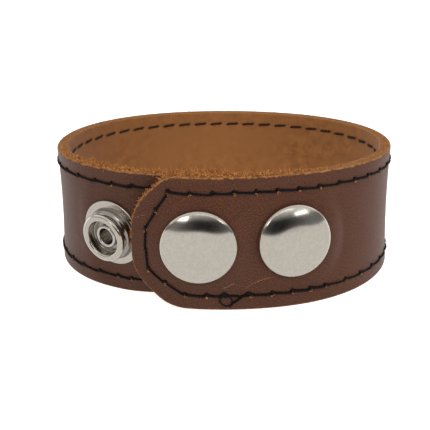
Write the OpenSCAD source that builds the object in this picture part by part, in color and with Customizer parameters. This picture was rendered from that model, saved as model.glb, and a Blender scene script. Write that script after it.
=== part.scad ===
// Leather cuff bracelet: one strap bent into a loop, with two snap fasteners.
// It stands on its lower edge, with the wrist's axis upright and the overlap at the front.

/* [Strap] */
// Width of the strap
strap_w = 28.6; // [27.6:0.2:30.6]
// Thickness of the leather
leather_t = 2.7; // [2.4:0.1:2.8]
// Length of the strap along its middle
strap_l = 245; // [243:0.5:246]
// How far both edges curl outwards from the middle
edge_flare = 0.4; // [0.2:0.1:0.5]
// Width of the worn corner along every cut edge
edge_wear = 0.35; // [0.2:0.05:0.5]
// Straight cut across the upper corners of both ends
top_cut = 7.2; // [6:0.2:8]
// Straight cut across the lower corners of both ends
bottom_cut = 7.8; // [6:0.2:8]

/* [Loop] */
// Where the outer end lies, from side to side
start_x = -19.14; // [-25:0.01:-15]
// Where the outer end lies, from front to back
start_y = -26.78; // [-35:0.01:-20]
// Which way the strap leaves its outer end, in degrees
start_heading = -18.8; // [-20:0.1:-17]

/* [Snaps] */
// Diameter of the domed caps
cap_d = 16; // [15.4:0.1:16]
// Height of the domed caps
cap_h = 2.5; // [2.5:0.1:2.7]
// Outer diameter of the sockets
socket_d = 12.4; // [12:0.1:12.6]
// Depth of the sockets, from their base to their mouth
socket_h = 2.5; // [2.3:0.1:2.6]
// Diameter of the studs' flanges
flange_d = 14.9; // [13:0.1:15]
// Diameter of the studs' heads
head_d = 10.8; // [10.4:0.1:10.8]
// Height of the studs' heads above the leather
head_top = 3.9; // [3.6:0.1:4]
// Diameter of the hollow barrels that go through the leather
barrel_d = 4.4; // [4:0.1:4.6]
// Clearance between the metal and the leather
seat_gap = 0.15; // [0.1:0.01:0.2]

/* [Hidden] */
$fn = 96;
small_fn = 32;                  // for the small rounds in the snaps' sections

// How the strap bends, a row every bend_step along it from the outer end:
// turn is in degrees for each centimetre, lean is how far the top edge lies in
// from the bottom edge, and lift is the height of the lower edge off the table.
TURN = 0;
LEAN = 1;
LIFT = 2;
bend_step = 20;
BEND = [
    [15.1,  1.3, 0.7],
    [ 8.5,  2.5, 0.3],
    [13.1,  3.2, 0.1],
    [20.5,  1.8, 0],
    [22.1,  0.8, 0],
    [18.4,  0.6, 0],
    [ 9.7,  0.6, 0],
    [11.8,  1.0, 0],
    [17.9,  1.2, 0],
    [22.6,  1.4, 0],
    [23.4, -0.4, 0],
    [13.9, -1.6, 0],
    [ 8.1, -1.3, 0],
    [ 3.3, -0.9, 0]
];

// Where the snaps sit: mm along the strap, mm above its middle, how far they push
// the leather outwards, and how their axes swing and nod from the leather's own.
ALONG = 0;
ABOVE = 1;
PUSH = 2;
SWING = 3;
NOD = 4;
FASTENED = [13.8,   0.0, 1.1,  0.0, -2.6];
OPEN     = [33.5,   0.2, 0.2, -2.9, -0.2];
EXPOSED  = [212.1, -0.3, 0.1, -5.2, -0.7];

// Corners of the ends: the straight cut, and the radii that blend it into the
// long edge and into the end.
top_corner = [top_cut, 5, 12];
bottom_corner = [bottom_cut, 9, 10];

// The fastened snap holds the strap's inner end in from its own curve, all but its
// upper edge: how far in, and where along the strap and up it that starts and is full
inner_set = 1.4;
set_start = 213;
set_full = 230;
set_low = 16;

// The outer end rides up on the exposed stud's flange: how far, and how far along
ride = 0.6;
ride_l = 11;

// Layers, from the outer leather inwards
flange_t = 0.4;                 // sheet metal
base_t = 0.4;
layer_gap = seat_gap + base_t + seat_gap + head_top;    // at the fastened snap
barrel_r = barrel_d / 2;
bore_r = barrel_r - 0.4;
lip_r = 0.4;                    // rolled ends of the barrels
hole_r = barrel_r + 0.2;        // holes drilled in the leather
post_h = 2.7;                   // height of a post's rolled end above the leather
post_head_r = 5;
floor_h = 1.6;                  // floor of the recess in a stud's head

// Steps along the strap and across it
walk = 0.5;                     // step of the walk that lays out the curve
fine = 2;                       // spacing of sections at the snaps
coarse = 4;                     // spacing of sections round the back
fade = 1.85;                    // flats fade out at this many times their size
across = 10;                    // points across each face, between its worn corners

function clamp(v, low, high) = min(max(v, low), high);
function smooth(v) = let (c = clamp(v, 0, 1)) c * c * (3 - 2 * c);
function unit(v) = v / norm(v);

// A column of the bend table at t mm along the strap, on a smooth curve through its rows
function bend(column, t) =
    let (last = len(BEND) - 1,
         row = clamp(t / bend_step, 0, last - 0.001),
         i = floor(row),
         u = row - i,
         a = BEND[max(i - 1, 0)][column],
         b = BEND[i][column],
         c = BEND[i + 1][column],
         d = BEND[min(i + 2, last)][column])
    (2 * b + (c - a) * u + (2 * a - 5 * b + 4 * c - d) * u * u
        + (3 * b - a - 3 * c + d) * u * u * u) / 2;

// The walk round the loop: x, y and heading every walk mm
loop = [for (i = 0, x = start_x, y = start_y, h = start_heading,
             half = bend(TURN, walk / 2) * walk / 20;
         i * walk <= strap_l + 4;
         x = x + walk * cos(h + half),
         y = y + walk * sin(h + half),
         h = h + 2 * half,
         i = i + 1,
         half = bend(TURN, (i + 0.5) * walk) * walk / 20)
        [x, y, h]];

function on_loop(t) =
    let (row = clamp(t / walk, 0, len(loop) - 1.001), i = floor(row))
    loop[i] + (loop[i + 1] - loop[i]) * (row - i);

function outwards(heading) = [sin(heading), -cos(heading), 0];

// A point of the strap before the snaps press it: depth is measured outwards from its middle
function loose(t, z, depth) =
    let (p = on_loop(t),
         edge = 2 * z / strap_w - 1,
         in = inner_set * smooth((t - set_start) / (set_full - set_start))
             * (1 - smooth((z - set_low) / (strap_w + 1 - set_low))),
         up = ride * (1 - smooth(t / ride_l)),
         out = depth + edge_flare * edge * edge + bend(LEAN, t) * (0.5 - z / strap_w) + up - in)
    [p[0], p[1], z + max(bend(LIFT, t), 0)] + outwards(p[2]) * out;

// The seat of a snap, where it meets the leather's outer face: [centre, axis]
function seat(snap) =
    let (t = snap[ALONG],
         z = strap_w / 2 + snap[ABOVE],
         face = leather_t / 2,
         along = loose(t + 0.5, z, face) - loose(t - 0.5, z, face),
         up = loose(t, z + 0.5, face) - loose(t, z - 0.5, face),
         n = unit(cross(along, up)),
         s = snap[SWING],
         axis = unit([cos(s) * n[0] - sin(s) * n[1], sin(s) * n[0] + cos(s) * n[1],
                      n[2] + tan(snap[NOD])]))
    [loose(t, z, face) + axis * snap[PUSH], axis];

// A seat moved along its own axis
function moved(place, d) = [place[0] + place[1] * d, place[1]];

fastened = seat(FASTENED);
open = seat(OPEN);
exposed = seat(EXPOSED);
// The inner layer's stud is held by the socket, so it takes the fastened snap's axis
hidden = moved(fastened, -leather_t - layer_gap);
hidden_along = 230.9;

// Where the leather is flat against the snaps, a row each: the seat, its place
// along the strap and above its middle, and half the flat's length and height
SEAT = 0;
AT = 1;
OVER = 2;
HALF_L = 3;
HALF_H = 4;
HOLDS = [
    [fastened, FASTENED[ALONG], FASTENED[ABOVE], 6.8, 7.6],
    [open,     OPEN[ALONG],     OPEN[ABOVE],     6.8, 7.6],
    [exposed,  EXPOSED[ALONG],  EXPOSED[ABOVE],  5.6, 8.0],
    [hidden,   hidden_along,    FASTENED[ABOVE], 8.0, 8.2]
];

// How strongly a row of that table holds the leather at a point, from 0 to 1
function hold(row, t, z) =
    let (out = norm([(t - row[AT]) / row[HALF_L], (z - strap_w / 2 - row[OVER]) / row[HALF_H]]))
    1 - smooth((out - 1) / (fade - 1));

// How far out along the loop's normal a point has to move to reach a seat's plane
function reach(place, p, n) =
    let (middle = place[0] - place[1] * leather_t / 2)
    ((middle - p) * place[1]) / (n * place[1]);

function sum(v) = v * [for (x = v) 1];
function product(v, i = 0) = i == len(v) ? 1 : v[i] * product(v, i + 1);

// A point of the finished strap: a seat outweighs the others where it holds fully
function strap_point(t, z, depth) =
    let (p = loose(t, z, 0),
         n = outwards(on_loop(t)[2]),
         w = [for (row = HOLDS) hold(row, t, z)],
         d = [for (row = HOLDS) reach(row[SEAT], p, n)],
         share = [for (v = w) v / (1.001 - v)],
         held = 1 - product([for (v = w) 1 - v]))
    loose(t, z, depth) + n * (share * d) * held / max(sum(share), 0.001);

// How far the end's outline is cut in from the long edge, t mm from the end
function cut_in(t, corner) =
    let (k = tan(22.5),
         cut = corner[0], edge_r = corner[1], end_r = corner[2],
         far = cut + edge_r * k,
         near = cut + end_r * k)
    t >= far ? 0
    : t > far - edge_r * sin(45) ? edge_r - sqrt(edge_r * edge_r - pow(far - t, 2))
    : t > end_r * (1 - cos(45)) ? cut - t
    : near - sqrt(end_r * end_r - pow(end_r - t, 2));

// Places of the sections: closer together at the ends and the snaps
corner_steps = [0, 0.1, 0.35, 0.8, 1.4, 2.2, 3.2, 4.4, 5.6, 7, 9, 11.5];
past_corner = 13.5;
fine_to = 48;
fine_from = 196;
stations = concat(
    corner_steps,
    [for (t = past_corner; t < fine_to; t = t + fine) t],
    [for (t = fine_to; t < fine_from; t = t + coarse) t],
    [for (t = fine_from; t < strap_l - past_corner + 1; t = t + fine) t],
    [for (i = [len(corner_steps) - 1 : -1 : 0]) strap_l - corner_steps[i]]);

// One closed section: up the outer face, then down the inner face
function section(t) =
    let (end = min(t, strap_l - t),
         low = cut_in(end, bottom_corner),
         high = strap_w - cut_in(end, top_corner),
         skin = leather_t / 2,
         worn = skin - edge_wear,
         z = concat([low], [for (i = [0 : across - 1])
             low + edge_wear + (high - low - 2 * edge_wear) * i / (across - 1)], [high]),
         n = len(z) - 1)
    concat([for (i = [0 : n]) strap_point(t, z[i], (i == 0 || i == n) ? worn : skin)],
           [for (i = [n : -1 : 0]) strap_point(t, z[i], (i == 0 || i == n) ? -worn : -skin)]);

module strap_solid() {
    m = 2 * (across + 2);
    rings = len(stations);
    points = [for (t = stations) each section(t)];
    sides = [for (r = [0 : rings - 2], i = [0 : m - 1])
             let (a = r * m + i, b = r * m + (i + 1) % m)
             each [[a, b + m, a + m], [a, b, b + m]]];
    start = [for (i = [0 : m / 2 - 2])
             each [[i, m - 1 - i, i + 1], [i + 1, m - 1 - i, m - 2 - i]]];
    last = (rings - 1) * m;
    finish = [for (f = start) [f[2] + last, f[1] + last, f[0] + last]];
    polyhedron(points = points, faces = concat(sides, start, finish), convexity = 6);
}

// Puts a piece made along +Z, from the leather's face at 0, on a seat
module on(place) {
    axis = place[1];
    across_axis = unit(cross([0, 0, 1], axis));
    up = cross(axis, across_axis);
    multmatrix([[across_axis[0], up[0], axis[0], place[0][0]],
                [across_axis[1], up[1], axis[1], place[0][1]],
                [across_axis[2], up[2], axis[2], place[0][2]],
                [0, 0, 0, 1]])
        children();
}

module drill(place) {
    on(place) translate([0, 0, -leather_t - 3]) cylinder(r = hole_r, h = leather_t + 6);
}

// Half sections of the snap parts, drawn beside the axis they are turned about

// A tube whose top is rolled outwards, as a set barrel's is
module barrel_section(bottom, top) {
    translate([bore_r, bottom]) square([barrel_r - bore_r, top - lip_r - bottom]);
    translate([bore_r + lip_r, top - lip_r]) circle(r = lip_r, $fn = small_fn);
}

// A dome that steepens over its shoulder into a rounded rim, with its barrel
// reaching inwards through the leather
module cap_section() {
    crown_r = 25.5;
    shoulder_r = 11.2;
    rim_r = 1;
    crown_lean = 8.5;           // how steep the dome is where the shoulder starts
    crown_end = crown_r * sin(crown_lean);
    shoulder_x = (crown_r - shoulder_r) * sin(crown_lean);
    shoulder_z = cap_h - crown_r + (crown_r - shoulder_r) * cos(crown_lean);
    rim_x = cap_d / 2 - rim_r;
    rim_lean = asin((rim_x - shoulder_x) / (shoulder_r - rim_r));
    rim_z = shoulder_z + (shoulder_r - rim_r) * cos(rim_lean);
    shoulder_end = rim_x + rim_r * sin(rim_lean);
    intersection() {
        translate([0, cap_h - crown_r]) circle(r = crown_r, $fn = 360);
        square([crown_end, cap_h]);
    }
    intersection() {
        translate([shoulder_x, shoulder_z]) circle(r = shoulder_r, $fn = 180);
        translate([crown_end, 0]) square([shoulder_end - crown_end, cap_h]);
    }
    intersection() {
        translate([rim_x, rim_z]) circle(r = rim_r, $fn = small_fn);
        translate([shoulder_end, rim_z]) square([rim_r, rim_r]);
    }
    square([cap_d / 2, rim_z]);
    mirror([0, 1]) barrel_section(-rim_r, 3 * seat_gap + leather_t + base_t + 2 * lip_r);
}

// A shallow cup with a rounded back, open away from the leather
module socket_section() {
    back = 0.6;
    wall_r = socket_d / 2;
    mouth_r = head_d / 2 + seat_gap;
    difference() {
        union() {
            square([wall_r - back, back]);
            translate([0, back]) square([wall_r, socket_h - back]);
            translate([wall_r - back, back]) circle(r = back, $fn = small_fn);
        }
        translate([-1, base_t]) square([mouth_r + 1, socket_h]);
        translate([-1, -1]) square([barrel_r + seat_gap + 1, socket_h]);
    }
}

// Flange, neck, waist and a ring-shaped head with a recess
module stud_section() {
    neck_r = 5.6;
    waist_r = 4.8;
    head_r = head_d / 2;
    recess_r = 3.9;
    hole = barrel_r + seat_gap;
    polygon([
        [hole, 0],
        [flange_d / 2, 0],
        [flange_d / 2, flange_t - 0.1],
        [flange_d / 2 - 0.1, flange_t],
        [neck_r + 0.3, flange_t],
        [neck_r, flange_t + 0.3],
        [neck_r, 1.3],
        [neck_r - 0.3, 1.7],
        [waist_r, 2.1],
        [waist_r, 2.5],
        [head_r, 2.85],
        [head_r, head_top - 0.5],
        [head_r - 0.15, head_top - 0.25],
        [head_r - 0.4, head_top - seat_gap],
        [recess_r + 0.3, head_top - seat_gap],
        [recess_r, head_top - 0.45],
        [recess_r, floor_h],
        [hole, floor_h]
    ]);
}

// The rivet behind a stud: a flat head inside the strap and a barrel that ends in the stud
module post_section() {
    head_t = 0.6;
    back = -leather_t - seat_gap;
    translate([0, back - head_t]) square([post_head_r, head_t]);
    barrel_section(back - head_t / 2, post_h);
}

module snap_cap() {
    color([0.74, 0.71, 0.66]) translate([0, 0, seat_gap]) rotate_extrude() cap_section();
}

module snap_socket() {
    color([0.7, 0.67, 0.62])
        translate([0, 0, -leather_t - seat_gap]) mirror([0, 0, 1]) rotate_extrude() socket_section();
}

module snap_stud() {
    color([0.74, 0.71, 0.66]) translate([0, 0, seat_gap]) rotate_extrude() stud_section();
}

module snap_post() {
    color([0.7, 0.67, 0.62]) rotate_extrude() post_section();
}

module strap() {
    color([0.35, 0.24, 0.19]) difference() {
        strap_solid();
        drill(fastened);
        drill(open);
        drill(exposed);
        drill(hidden);
    }
}

module cap_fastened() { on(fastened) snap_cap(); }
module cap_open() { on(open) snap_cap(); }
module socket_fastened() { on(fastened) snap_socket(); }
module socket_open() { on(open) snap_socket(); }
module stud_fastened() { on(hidden) snap_stud(); }
module stud_exposed() { on(exposed) snap_stud(); }
module post_fastened() { on(hidden) snap_post(); }
module post_exposed() { on(exposed) snap_post(); }

strap();
cap_fastened();
cap_open();
socket_fastened();
socket_open();
stud_fastened();
stud_exposed();
post_fastened();
post_exposed();
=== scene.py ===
# %% [markdown]
# # A leather cuff bracelet
# One strap of thick brown leather is bent into a loop and snapped shut. Its cut edges show bright fibres,
# its inside is suede, and a black waxed thread runs round it. This lesson dresses the bracelet's exact
# parts: it builds the worn strap, turns the snaps, sews the thread, and then lights it all as in a studio.

# %% Load the frame
import math

import bmesh
import bpy
import numpy as np
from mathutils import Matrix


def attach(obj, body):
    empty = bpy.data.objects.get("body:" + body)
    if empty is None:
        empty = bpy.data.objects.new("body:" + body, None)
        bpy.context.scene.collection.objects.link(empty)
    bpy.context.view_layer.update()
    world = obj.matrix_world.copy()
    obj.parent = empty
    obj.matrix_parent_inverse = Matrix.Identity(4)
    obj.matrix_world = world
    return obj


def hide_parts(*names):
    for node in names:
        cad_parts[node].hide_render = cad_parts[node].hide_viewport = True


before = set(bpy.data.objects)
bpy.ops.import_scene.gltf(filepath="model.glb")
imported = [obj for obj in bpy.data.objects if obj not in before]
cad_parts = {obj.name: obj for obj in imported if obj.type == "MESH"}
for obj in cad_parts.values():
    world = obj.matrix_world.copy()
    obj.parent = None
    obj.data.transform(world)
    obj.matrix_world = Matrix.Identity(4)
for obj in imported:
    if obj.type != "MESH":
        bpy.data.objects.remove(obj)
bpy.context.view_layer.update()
print("parts in the frame:", sorted(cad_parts))

# %% [markdown]
# ## The camera
# The photo looks down at the cuff by about 22 degrees, from close by, so near parts look larger than far
# ones. The distance sets how strongly they do, and the lens then sets how large the cuff is in the frame.

# %% Camera
MM = 0.001                                  # one millimetre in metres
CAMERA_PLACE = (-2.26, -150.75, 69.22)      # mm
CAMERA_DOWN = 21.66                         # degrees
CAMERA_LENS = 53.85                         # mm


def set_camera(place_mm, down_deg, lens_mm):
    """A camera straight in front that looks down. It also draws what is as near as 5 mm."""
    data = bpy.data.cameras.new("camera")
    data.lens = lens_mm
    data.clip_start = 5 * MM
    camera = bpy.data.objects.new("camera", data)
    bpy.context.scene.collection.objects.link(camera)
    camera.location = [x * MM for x in place_mm]
    camera.rotation_euler = (math.radians(90 - down_deg), 0, 0)
    bpy.context.scene.camera = camera
    return camera


camera = set_camera(CAMERA_PLACE, CAMERA_DOWN, CAMERA_LENS)
print("camera, m:", [round(x, 3) for x in camera.location])

# %% [markdown]
# ## The shape of the loop
# A cuff is flat leather, so every place on it has two simple numbers: how far along the strap it is, and how
# high up its width. One function turns those into a point of the bent strap. A drawn curve with a flat
# profile could do this too, but here the leather also leans, flares and flattens under the snaps, and the
# stitches and fibres have to follow it, so the rule is written out once and all of them use it.

# %% Sizes of the strap, in mm
WIDTH = 28.6
THICK = 2.7
LENGTH = 245.0
SKIN = THICK / 2                    # from the middle of the leather to either face
FLARE = 0.4                         # how far both long edges stand off, as they curl a little
WEAR = 0.35                         # how far wear has rounded the corners of the cut edge
print("the flat strap is", LENGTH, "x", WIDTH, "x", THICK, "mm")


# %% How the strap is bent
START = (-19.14, -26.78, -18.8)     # place of the outer end in mm, and its heading in degrees
WALK = 0.5                          # mm from one worked-out place to the next
OVERRUN = 4                         # mm that the walk goes on past the strap's end
BEND_STEP = 20                      # mm along, from one row of the table to the next

# In each row: degrees turned in a centimetre, mm that the top leans in, mm that the lower edge lifts
TURN, LEAN, LIFT = 0, 1, 2
BEND = np.array([
    (15.1, 1.3, 0.7),
    (8.5, 2.5, 0.3),
    (13.1, 3.2, 0.1),
    (20.5, 1.8, 0),
    (22.1, 0.8, 0),
    (18.4, 0.6, 0),
    (9.7, 0.6, 0),
    (11.8, 1.0, 0),
    (17.9, 1.2, 0),
    (22.6, 1.4, 0),
    (23.4, -0.4, 0),
    (13.9, -1.6, 0),
    (8.1, -1.3, 0),
    (3.3, -0.9, 0),
])
print("rows of the bend table:", len(BEND))


# %% Walk round the loop
def bend(column, along):
    """A column of the bend table, on a smooth curve through its rows."""
    last = len(BEND) - 1
    row = np.clip(np.asarray(along, float) / BEND_STEP, 0, last - 0.001)
    i = np.floor(row).astype(int)
    u = row - i
    a = BEND[np.maximum(i - 1, 0), column]
    b = BEND[i, column]
    c = BEND[i + 1, column]
    d = BEND[np.minimum(i + 2, last), column]
    cubic = (3 * b - a - 3 * c + d) * u ** 3
    return (2 * b + (c - a) * u + (2 * a - 5 * b + 4 * c - d) * u * u + cubic) / 2


def walk_loop():
    """Place and heading of the strap's middle, every WALK mm."""
    x, y, heading = START
    rows = []
    for i in range(int((LENGTH + OVERRUN) / WALK) + 1):
        rows.append((x, y, heading))
        per_cm = float(bend(TURN, (i + 0.5) * WALK))
        half = per_cm * WALK / 10 / 2
        x += WALK * math.cos(math.radians(heading + half))
        y += WALK * math.sin(math.radians(heading + half))
        heading += 2 * half
    return np.array(rows)


LOOP = walk_loop()
print("the strap turns through", round(LOOP[-1][2] - LOOP[0][2]), "degrees")


# %% A point of the free leather
TUCK = 1.4                      # mm that the inner end's lower part tucks in
TUCK_ALONG = (213, 230)         # mm along, where the tuck begins and where it is full
TUCK_UP = (16, WIDTH + 1)       # mm up the width, where it starts to fade and where it is gone
STAND_OFF = 0.6                 # mm that the outer end's tip stands off
TIP = 11                        # mm from that end, where the leather lies close again


def fade(v, start, end):
    """0 up to the start and 1 from the end, on a smooth curve between them."""
    share = np.clip((v - start) / (end - start), 0, 1)
    return share * share * (3 - 2 * share)


def on_loop(along):
    """Place and heading at some distance along, between the steps of the walk."""
    row = np.asarray(along, float) / WALK
    steps = np.arange(len(LOOP))
    return np.stack([np.interp(row, steps, LOOP[:, k]) for k in range(3)], axis=-1)


def outwards(along):
    """The level direction out of the loop."""
    heading = np.radians(on_loop(along)[..., 2])
    return np.stack([np.sin(heading), -np.cos(heading), np.zeros_like(heading)], axis=-1)


def loose(along, up, depth):
    """A point of the strap before the snaps flatten it. Depth is measured outwards from its middle."""
    along, up, depth = np.broadcast_arrays(*[np.asarray(v, float) for v in (along, up, depth)])
    tucked = TUCK * fade(along, *TUCK_ALONG) * (1 - fade(up, *TUCK_UP))
    off = STAND_OFF * (1 - fade(along, 0, TIP))
    flare = FLARE * (2 * up / WIDTH - 1) ** 2
    out = depth + flare + bend(LEAN, along) * (0.5 - up / WIDTH) + off - tucked
    point = on_loop(along)
    point[..., 2] = up + np.maximum(bend(LIFT, along), 0)
    return point + outwards(along) * out[..., None]


print("middle of the outer end, mm:", loose(0, WIDTH / 2, 0).round(2))

# %% [markdown]
# ## Where the snaps sit
# A snap squeezes the leather flat between its two halves. Each seat is a place on the outer face and an
# axis. The leather moves to the seat's plane near it, and back to its own curve further away. Pressing the
# finished mesh flat would leave the stitches beside it behind, so the pull is a part of the rule itself.

# %% Seats of the snaps
# Along the strap, above its middle, push outwards, and how the axis swings and nods in degrees
FASTENED = (13.8, 0.0, 1.1, 0.0, -2.6)
OPEN = (33.5, 0.2, 0.2, -2.9, -0.2)
EXPOSED = (212.1, -0.3, 0.1, -5.2, -0.7)
GAP = 0.15                          # mm of room between a metal part and what it sits on
SHEET = 0.4                         # mm, thickness of the pressed metal
HEAD_TOP = 3.9                      # mm from the leather to the top of a stud's head
LAYER_GAP = GAP + SHEET + GAP + HEAD_TOP    # mm between the two layers of leather, at the fastened snap
HIDDEN_ALONG = 230.9                # mm along, where the stud under that snap sits


def unit(v):
    return v / np.linalg.norm(v)


def seat(snap):
    """Centre and axis of a snap on the outer face. The axis is square to the face, then swung and nodded."""
    along, above, push, swing, nod = snap
    up = WIDTH / 2 + above
    near = 0.5
    ahead = loose(along + near, up, SKIN) - loose(along - near, up, SKIN)
    over = loose(along, up + near, SKIN) - loose(along, up - near, SKIN)
    n = unit(np.cross(ahead, over))
    s = math.radians(swing)
    axis = unit(np.array([
        math.cos(s) * n[0] - math.sin(s) * n[1],
        math.sin(s) * n[0] + math.cos(s) * n[1],
        n[2] + math.tan(math.radians(nod)),
    ]))
    return loose(along, up, SKIN) + axis * push, axis


SEAT_FASTENED = seat(FASTENED)
SEAT_OPEN = seat(OPEN)
SEAT_EXPOSED = seat(EXPOSED)
# The stud under the fastened snap is held by the socket, so it shares its axis
SEAT_HIDDEN = (SEAT_FASTENED[0] - SEAT_FASTENED[1] * (THICK + LAYER_GAP), SEAT_FASTENED[1])
# Seat, place along and above the middle, half the flat's length and height
HOLDS = [
    (SEAT_FASTENED, FASTENED[0], FASTENED[1], 6.8, 7.6),
    (SEAT_OPEN, OPEN[0], OPEN[1], 6.8, 7.6),
    (SEAT_EXPOSED, EXPOSED[0], EXPOSED[1], 5.6, 8.0),
    (SEAT_HIDDEN, HIDDEN_ALONG, FASTENED[1], 8.0, 8.2),
]
HOLD_END = 1.85         # where a seat's hold ends, as a share of the flat's size
print("seat of the exposed stud, mm:", SEAT_EXPOSED[0].round(2))


# %% A point of the finished strap
def on_strap(along, up, depth):
    """A point of the strap, in mm: a seat outweighs the others where it holds fully."""
    along, up, depth = np.broadcast_arrays(*[np.asarray(v, float) for v in (along, up, depth)])
    middle = loose(along, up, 0)
    n = outwards(along)
    weight_sum = np.zeros(along.shape)
    pulled = np.zeros(along.shape)
    free = np.ones(along.shape)
    for place, at, above, half_l, half_h in HOLDS:
        out = np.hypot((along - at) / half_l, (up - WIDTH / 2 - above) / half_h)
        hold = 1 - fade(out, 1, HOLD_END)
        target = place[0] - place[1] * SKIN
        reach = ((target - middle) @ place[1]) / (n @ place[1])
        weight = hold / (1.001 - hold)
        weight_sum += weight
        pulled += weight * reach
        free *= 1 - hold
    push = pulled * (1 - free) / np.maximum(weight_sum, 0.001)
    return loose(along, up, depth) + n * push[..., None]


print("a point beside the fastened snap, mm:", on_strap(22, 14.3, SKIN).round(2))

# %% [markdown]
# ## The outline of the strap
# Both ends are cut off at their corners, with soft transitions where the knife turned. A Boolean could cut
# them, but it leaves long thin faces that shade badly, so the outline is a formula and the mesh follows it.
# The distance from a point to the outline matters too: the leather's corners are worn round near it.


# %% Outline
# How far the knife cut in at a corner, and the round it left at the long edge and at the end, in mm
LOWER_CORNER = (7.8, 9, 10)
UPPER_CORNER = (7.2, 5, 12)
CORNER_END = 15         # past this distance from an end, both edges are straight


def cut_in(from_end, cut, edge_r, end_r):
    """How far a corner's outline is cut in from the long edge."""
    k = math.tan(math.radians(22.5))
    far = cut + edge_r * k
    near = cut + end_r * k
    t = np.asarray(from_end, float)
    into_edge = edge_r - np.sqrt(np.maximum(edge_r ** 2 - (far - t) ** 2, 0))
    into_end = near - np.sqrt(np.maximum(end_r ** 2 - (end_r - t) ** 2, 0))
    past_end_round = t > end_r * (1 - math.cos(math.radians(45)))
    before_edge_round = t <= far - edge_r * math.sin(math.radians(45))
    cut_line = np.where(past_end_round, cut - t, into_end)
    return np.where(t >= far, 0, np.where(before_edge_round, cut_line, into_edge))


def edges_at(along):
    """Heights of the strap's lower and upper edges."""
    from_end = np.minimum(along, LENGTH - along)
    return cut_in(from_end, *LOWER_CORNER), WIDTH - cut_in(from_end, *UPPER_CORNER)


def outline():
    """Points round the whole outline, close together at the corners."""
    start = np.concatenate([np.linspace(0, 1, 21), np.arange(1.25, CORNER_END, 0.25)])
    along = np.concatenate([start, np.arange(CORNER_END, LENGTH - CORNER_END, 2), LENGTH - start[::-1]])
    low, high = edges_at(along)
    lower = np.stack([along, low], axis=-1)
    upper = np.stack([along, high], axis=-1)[::-1]
    return np.concatenate([lower, upper, lower[:1]])


OUTLINE = outline()


def to_outline(along, up):
    """Distance from places on the strap to its outline, in mm."""
    a, b = OUTLINE[:-1], OUTLINE[1:]
    ab = b - a
    length2 = np.maximum((ab ** 2).sum(axis=1), 1e-12)
    p = np.stack([along, up], axis=-1)[..., None, :]
    share = np.clip(((p - a) * ab).sum(axis=-1) / length2, 0, 1)
    return np.sqrt(((a + ab * share[..., None] - p) ** 2).sum(axis=-1)).min(axis=-1)


outline_mm = np.linalg.norm(np.diff(OUTLINE, axis=0), axis=1).sum()
print("the outline is", round(float(outline_mm)), "mm round")

# %% [markdown]
# ## Where the stitch holes are
# The holes were pricked by hand 3.2 mm in from the edge, about 4.6 mm apart. An even row would be simpler to
# make, but would miss the places in the photo. So those that it shows are measured from it, and the others
# carry on at the same pitch.

# %% Stitch holes
INSET = 3.2
PITCH = 4.62

# Distances along the strap, and for the end also heights. The far ones are beside the exposed stud
SHOWN_TOP = (7.75, 11.98, 16.6, 20.9, 25.4, 30.0, 34.6, 39.3, 44.3, 48.7, 53.1, 58.2)
SHOWN_END = ((5.4, 21.6), (3.2, 17.4), (3.2, 12.7), (3.65, 8.5), (7.0, 5.8))
SHOWN_BOTTOM = (11.0, 15.3, 18.95, 24.2, 28.8, 33.1, 37.1, 40.7, 46.2)
FAR_TOP = (198.9, 203.6, 208.6, 212.7, 217.2, 221.2)
FAR_BOTTOM = (202.2, 207.3, 212.3, 215.7)


def spread(first, last):
    """Places between two holes, at about the pitch, without the two."""
    count = round((last - first) / PITCH)
    return list(np.linspace(first, last, count + 1)[1:-1])


def long_row(shown, far):
    """One long row, from its first hole to the mirrored place at the strap's other end."""
    last = LENGTH - shown[0]
    return [*shown, *spread(shown[-1], far[0]), *far, *spread(far[-1], last), last]


def hole_rows():
    """All the holes in the order of sewing: along the top, down the inner end, back, and up the outer end."""
    top = [(t, WIDTH - INSET) for t in long_row(SHOWN_TOP, FAR_TOP)]
    inner_end = [(LENGTH - t, z) for t, z in SHOWN_END]
    bottom = [(t, INSET) for t in reversed(long_row(SHOWN_BOTTOM, FAR_BOTTOM))]
    return top + inner_end + bottom + list(reversed(SHOWN_END))


HOLES = np.array(hole_rows())
print(len(HOLES), "stitch holes")


# %% Distance to a hole, and loose fibre
def to_hole(along, up):
    """Distance from places on the strap to the nearest stitch hole, in mm."""
    p = np.stack([along, up], axis=-1)[..., None, :]
    return np.sqrt(((HOLES - p) ** 2).sum(axis=-1)).min(axis=-1)


def fuzz(along, up):
    """How much loose fibre the cut edge has, from 0 to 1: most on top in front, and none below."""
    front = np.maximum(1 - fade(along, 25, 50), fade(along, 190, 210))
    top = fade(up, 26, 28.2)
    outer_end = (1 - fade(along, 8, 13)) * fade(up, 6, 20)
    return np.maximum(top * (0.15 + 0.85 * front), 0.5 * outer_end)


fuzz_on_top = {along: round(float(fuzz(along, WIDTH)), 2) for along in (0, 35, 120)}
print("loose fibre on top, by mm along:", fuzz_on_top)

# %% [markdown]
# ## The strap
# The real strap is 2.7 mm leather cut with a knife: hard corners that wear had rounded a little, a smooth
# grain side, and a suede side. A box with modifiers would lose the cut ends, so the mesh is laid out as a
# grid along and across the strap. Its lines lie closer together at the edges and along the stitching, where
# the thread pulls small dents into the leather. Three materials share the one closed mesh.


# %% Grid lines of the strap
def ring_places():
    """Distances of the sections along the strap: 0.5 mm apart, and closer at both ends."""
    near = [0, 0.03, 0.1, 0.2, 0.35, 0.6, 0.9, 1.3]
    middle = list(np.arange(1.75, LENGTH - 1.5, 0.5))
    return np.array(near + middle + [LENGTH - t for t in reversed(near)])


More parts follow.
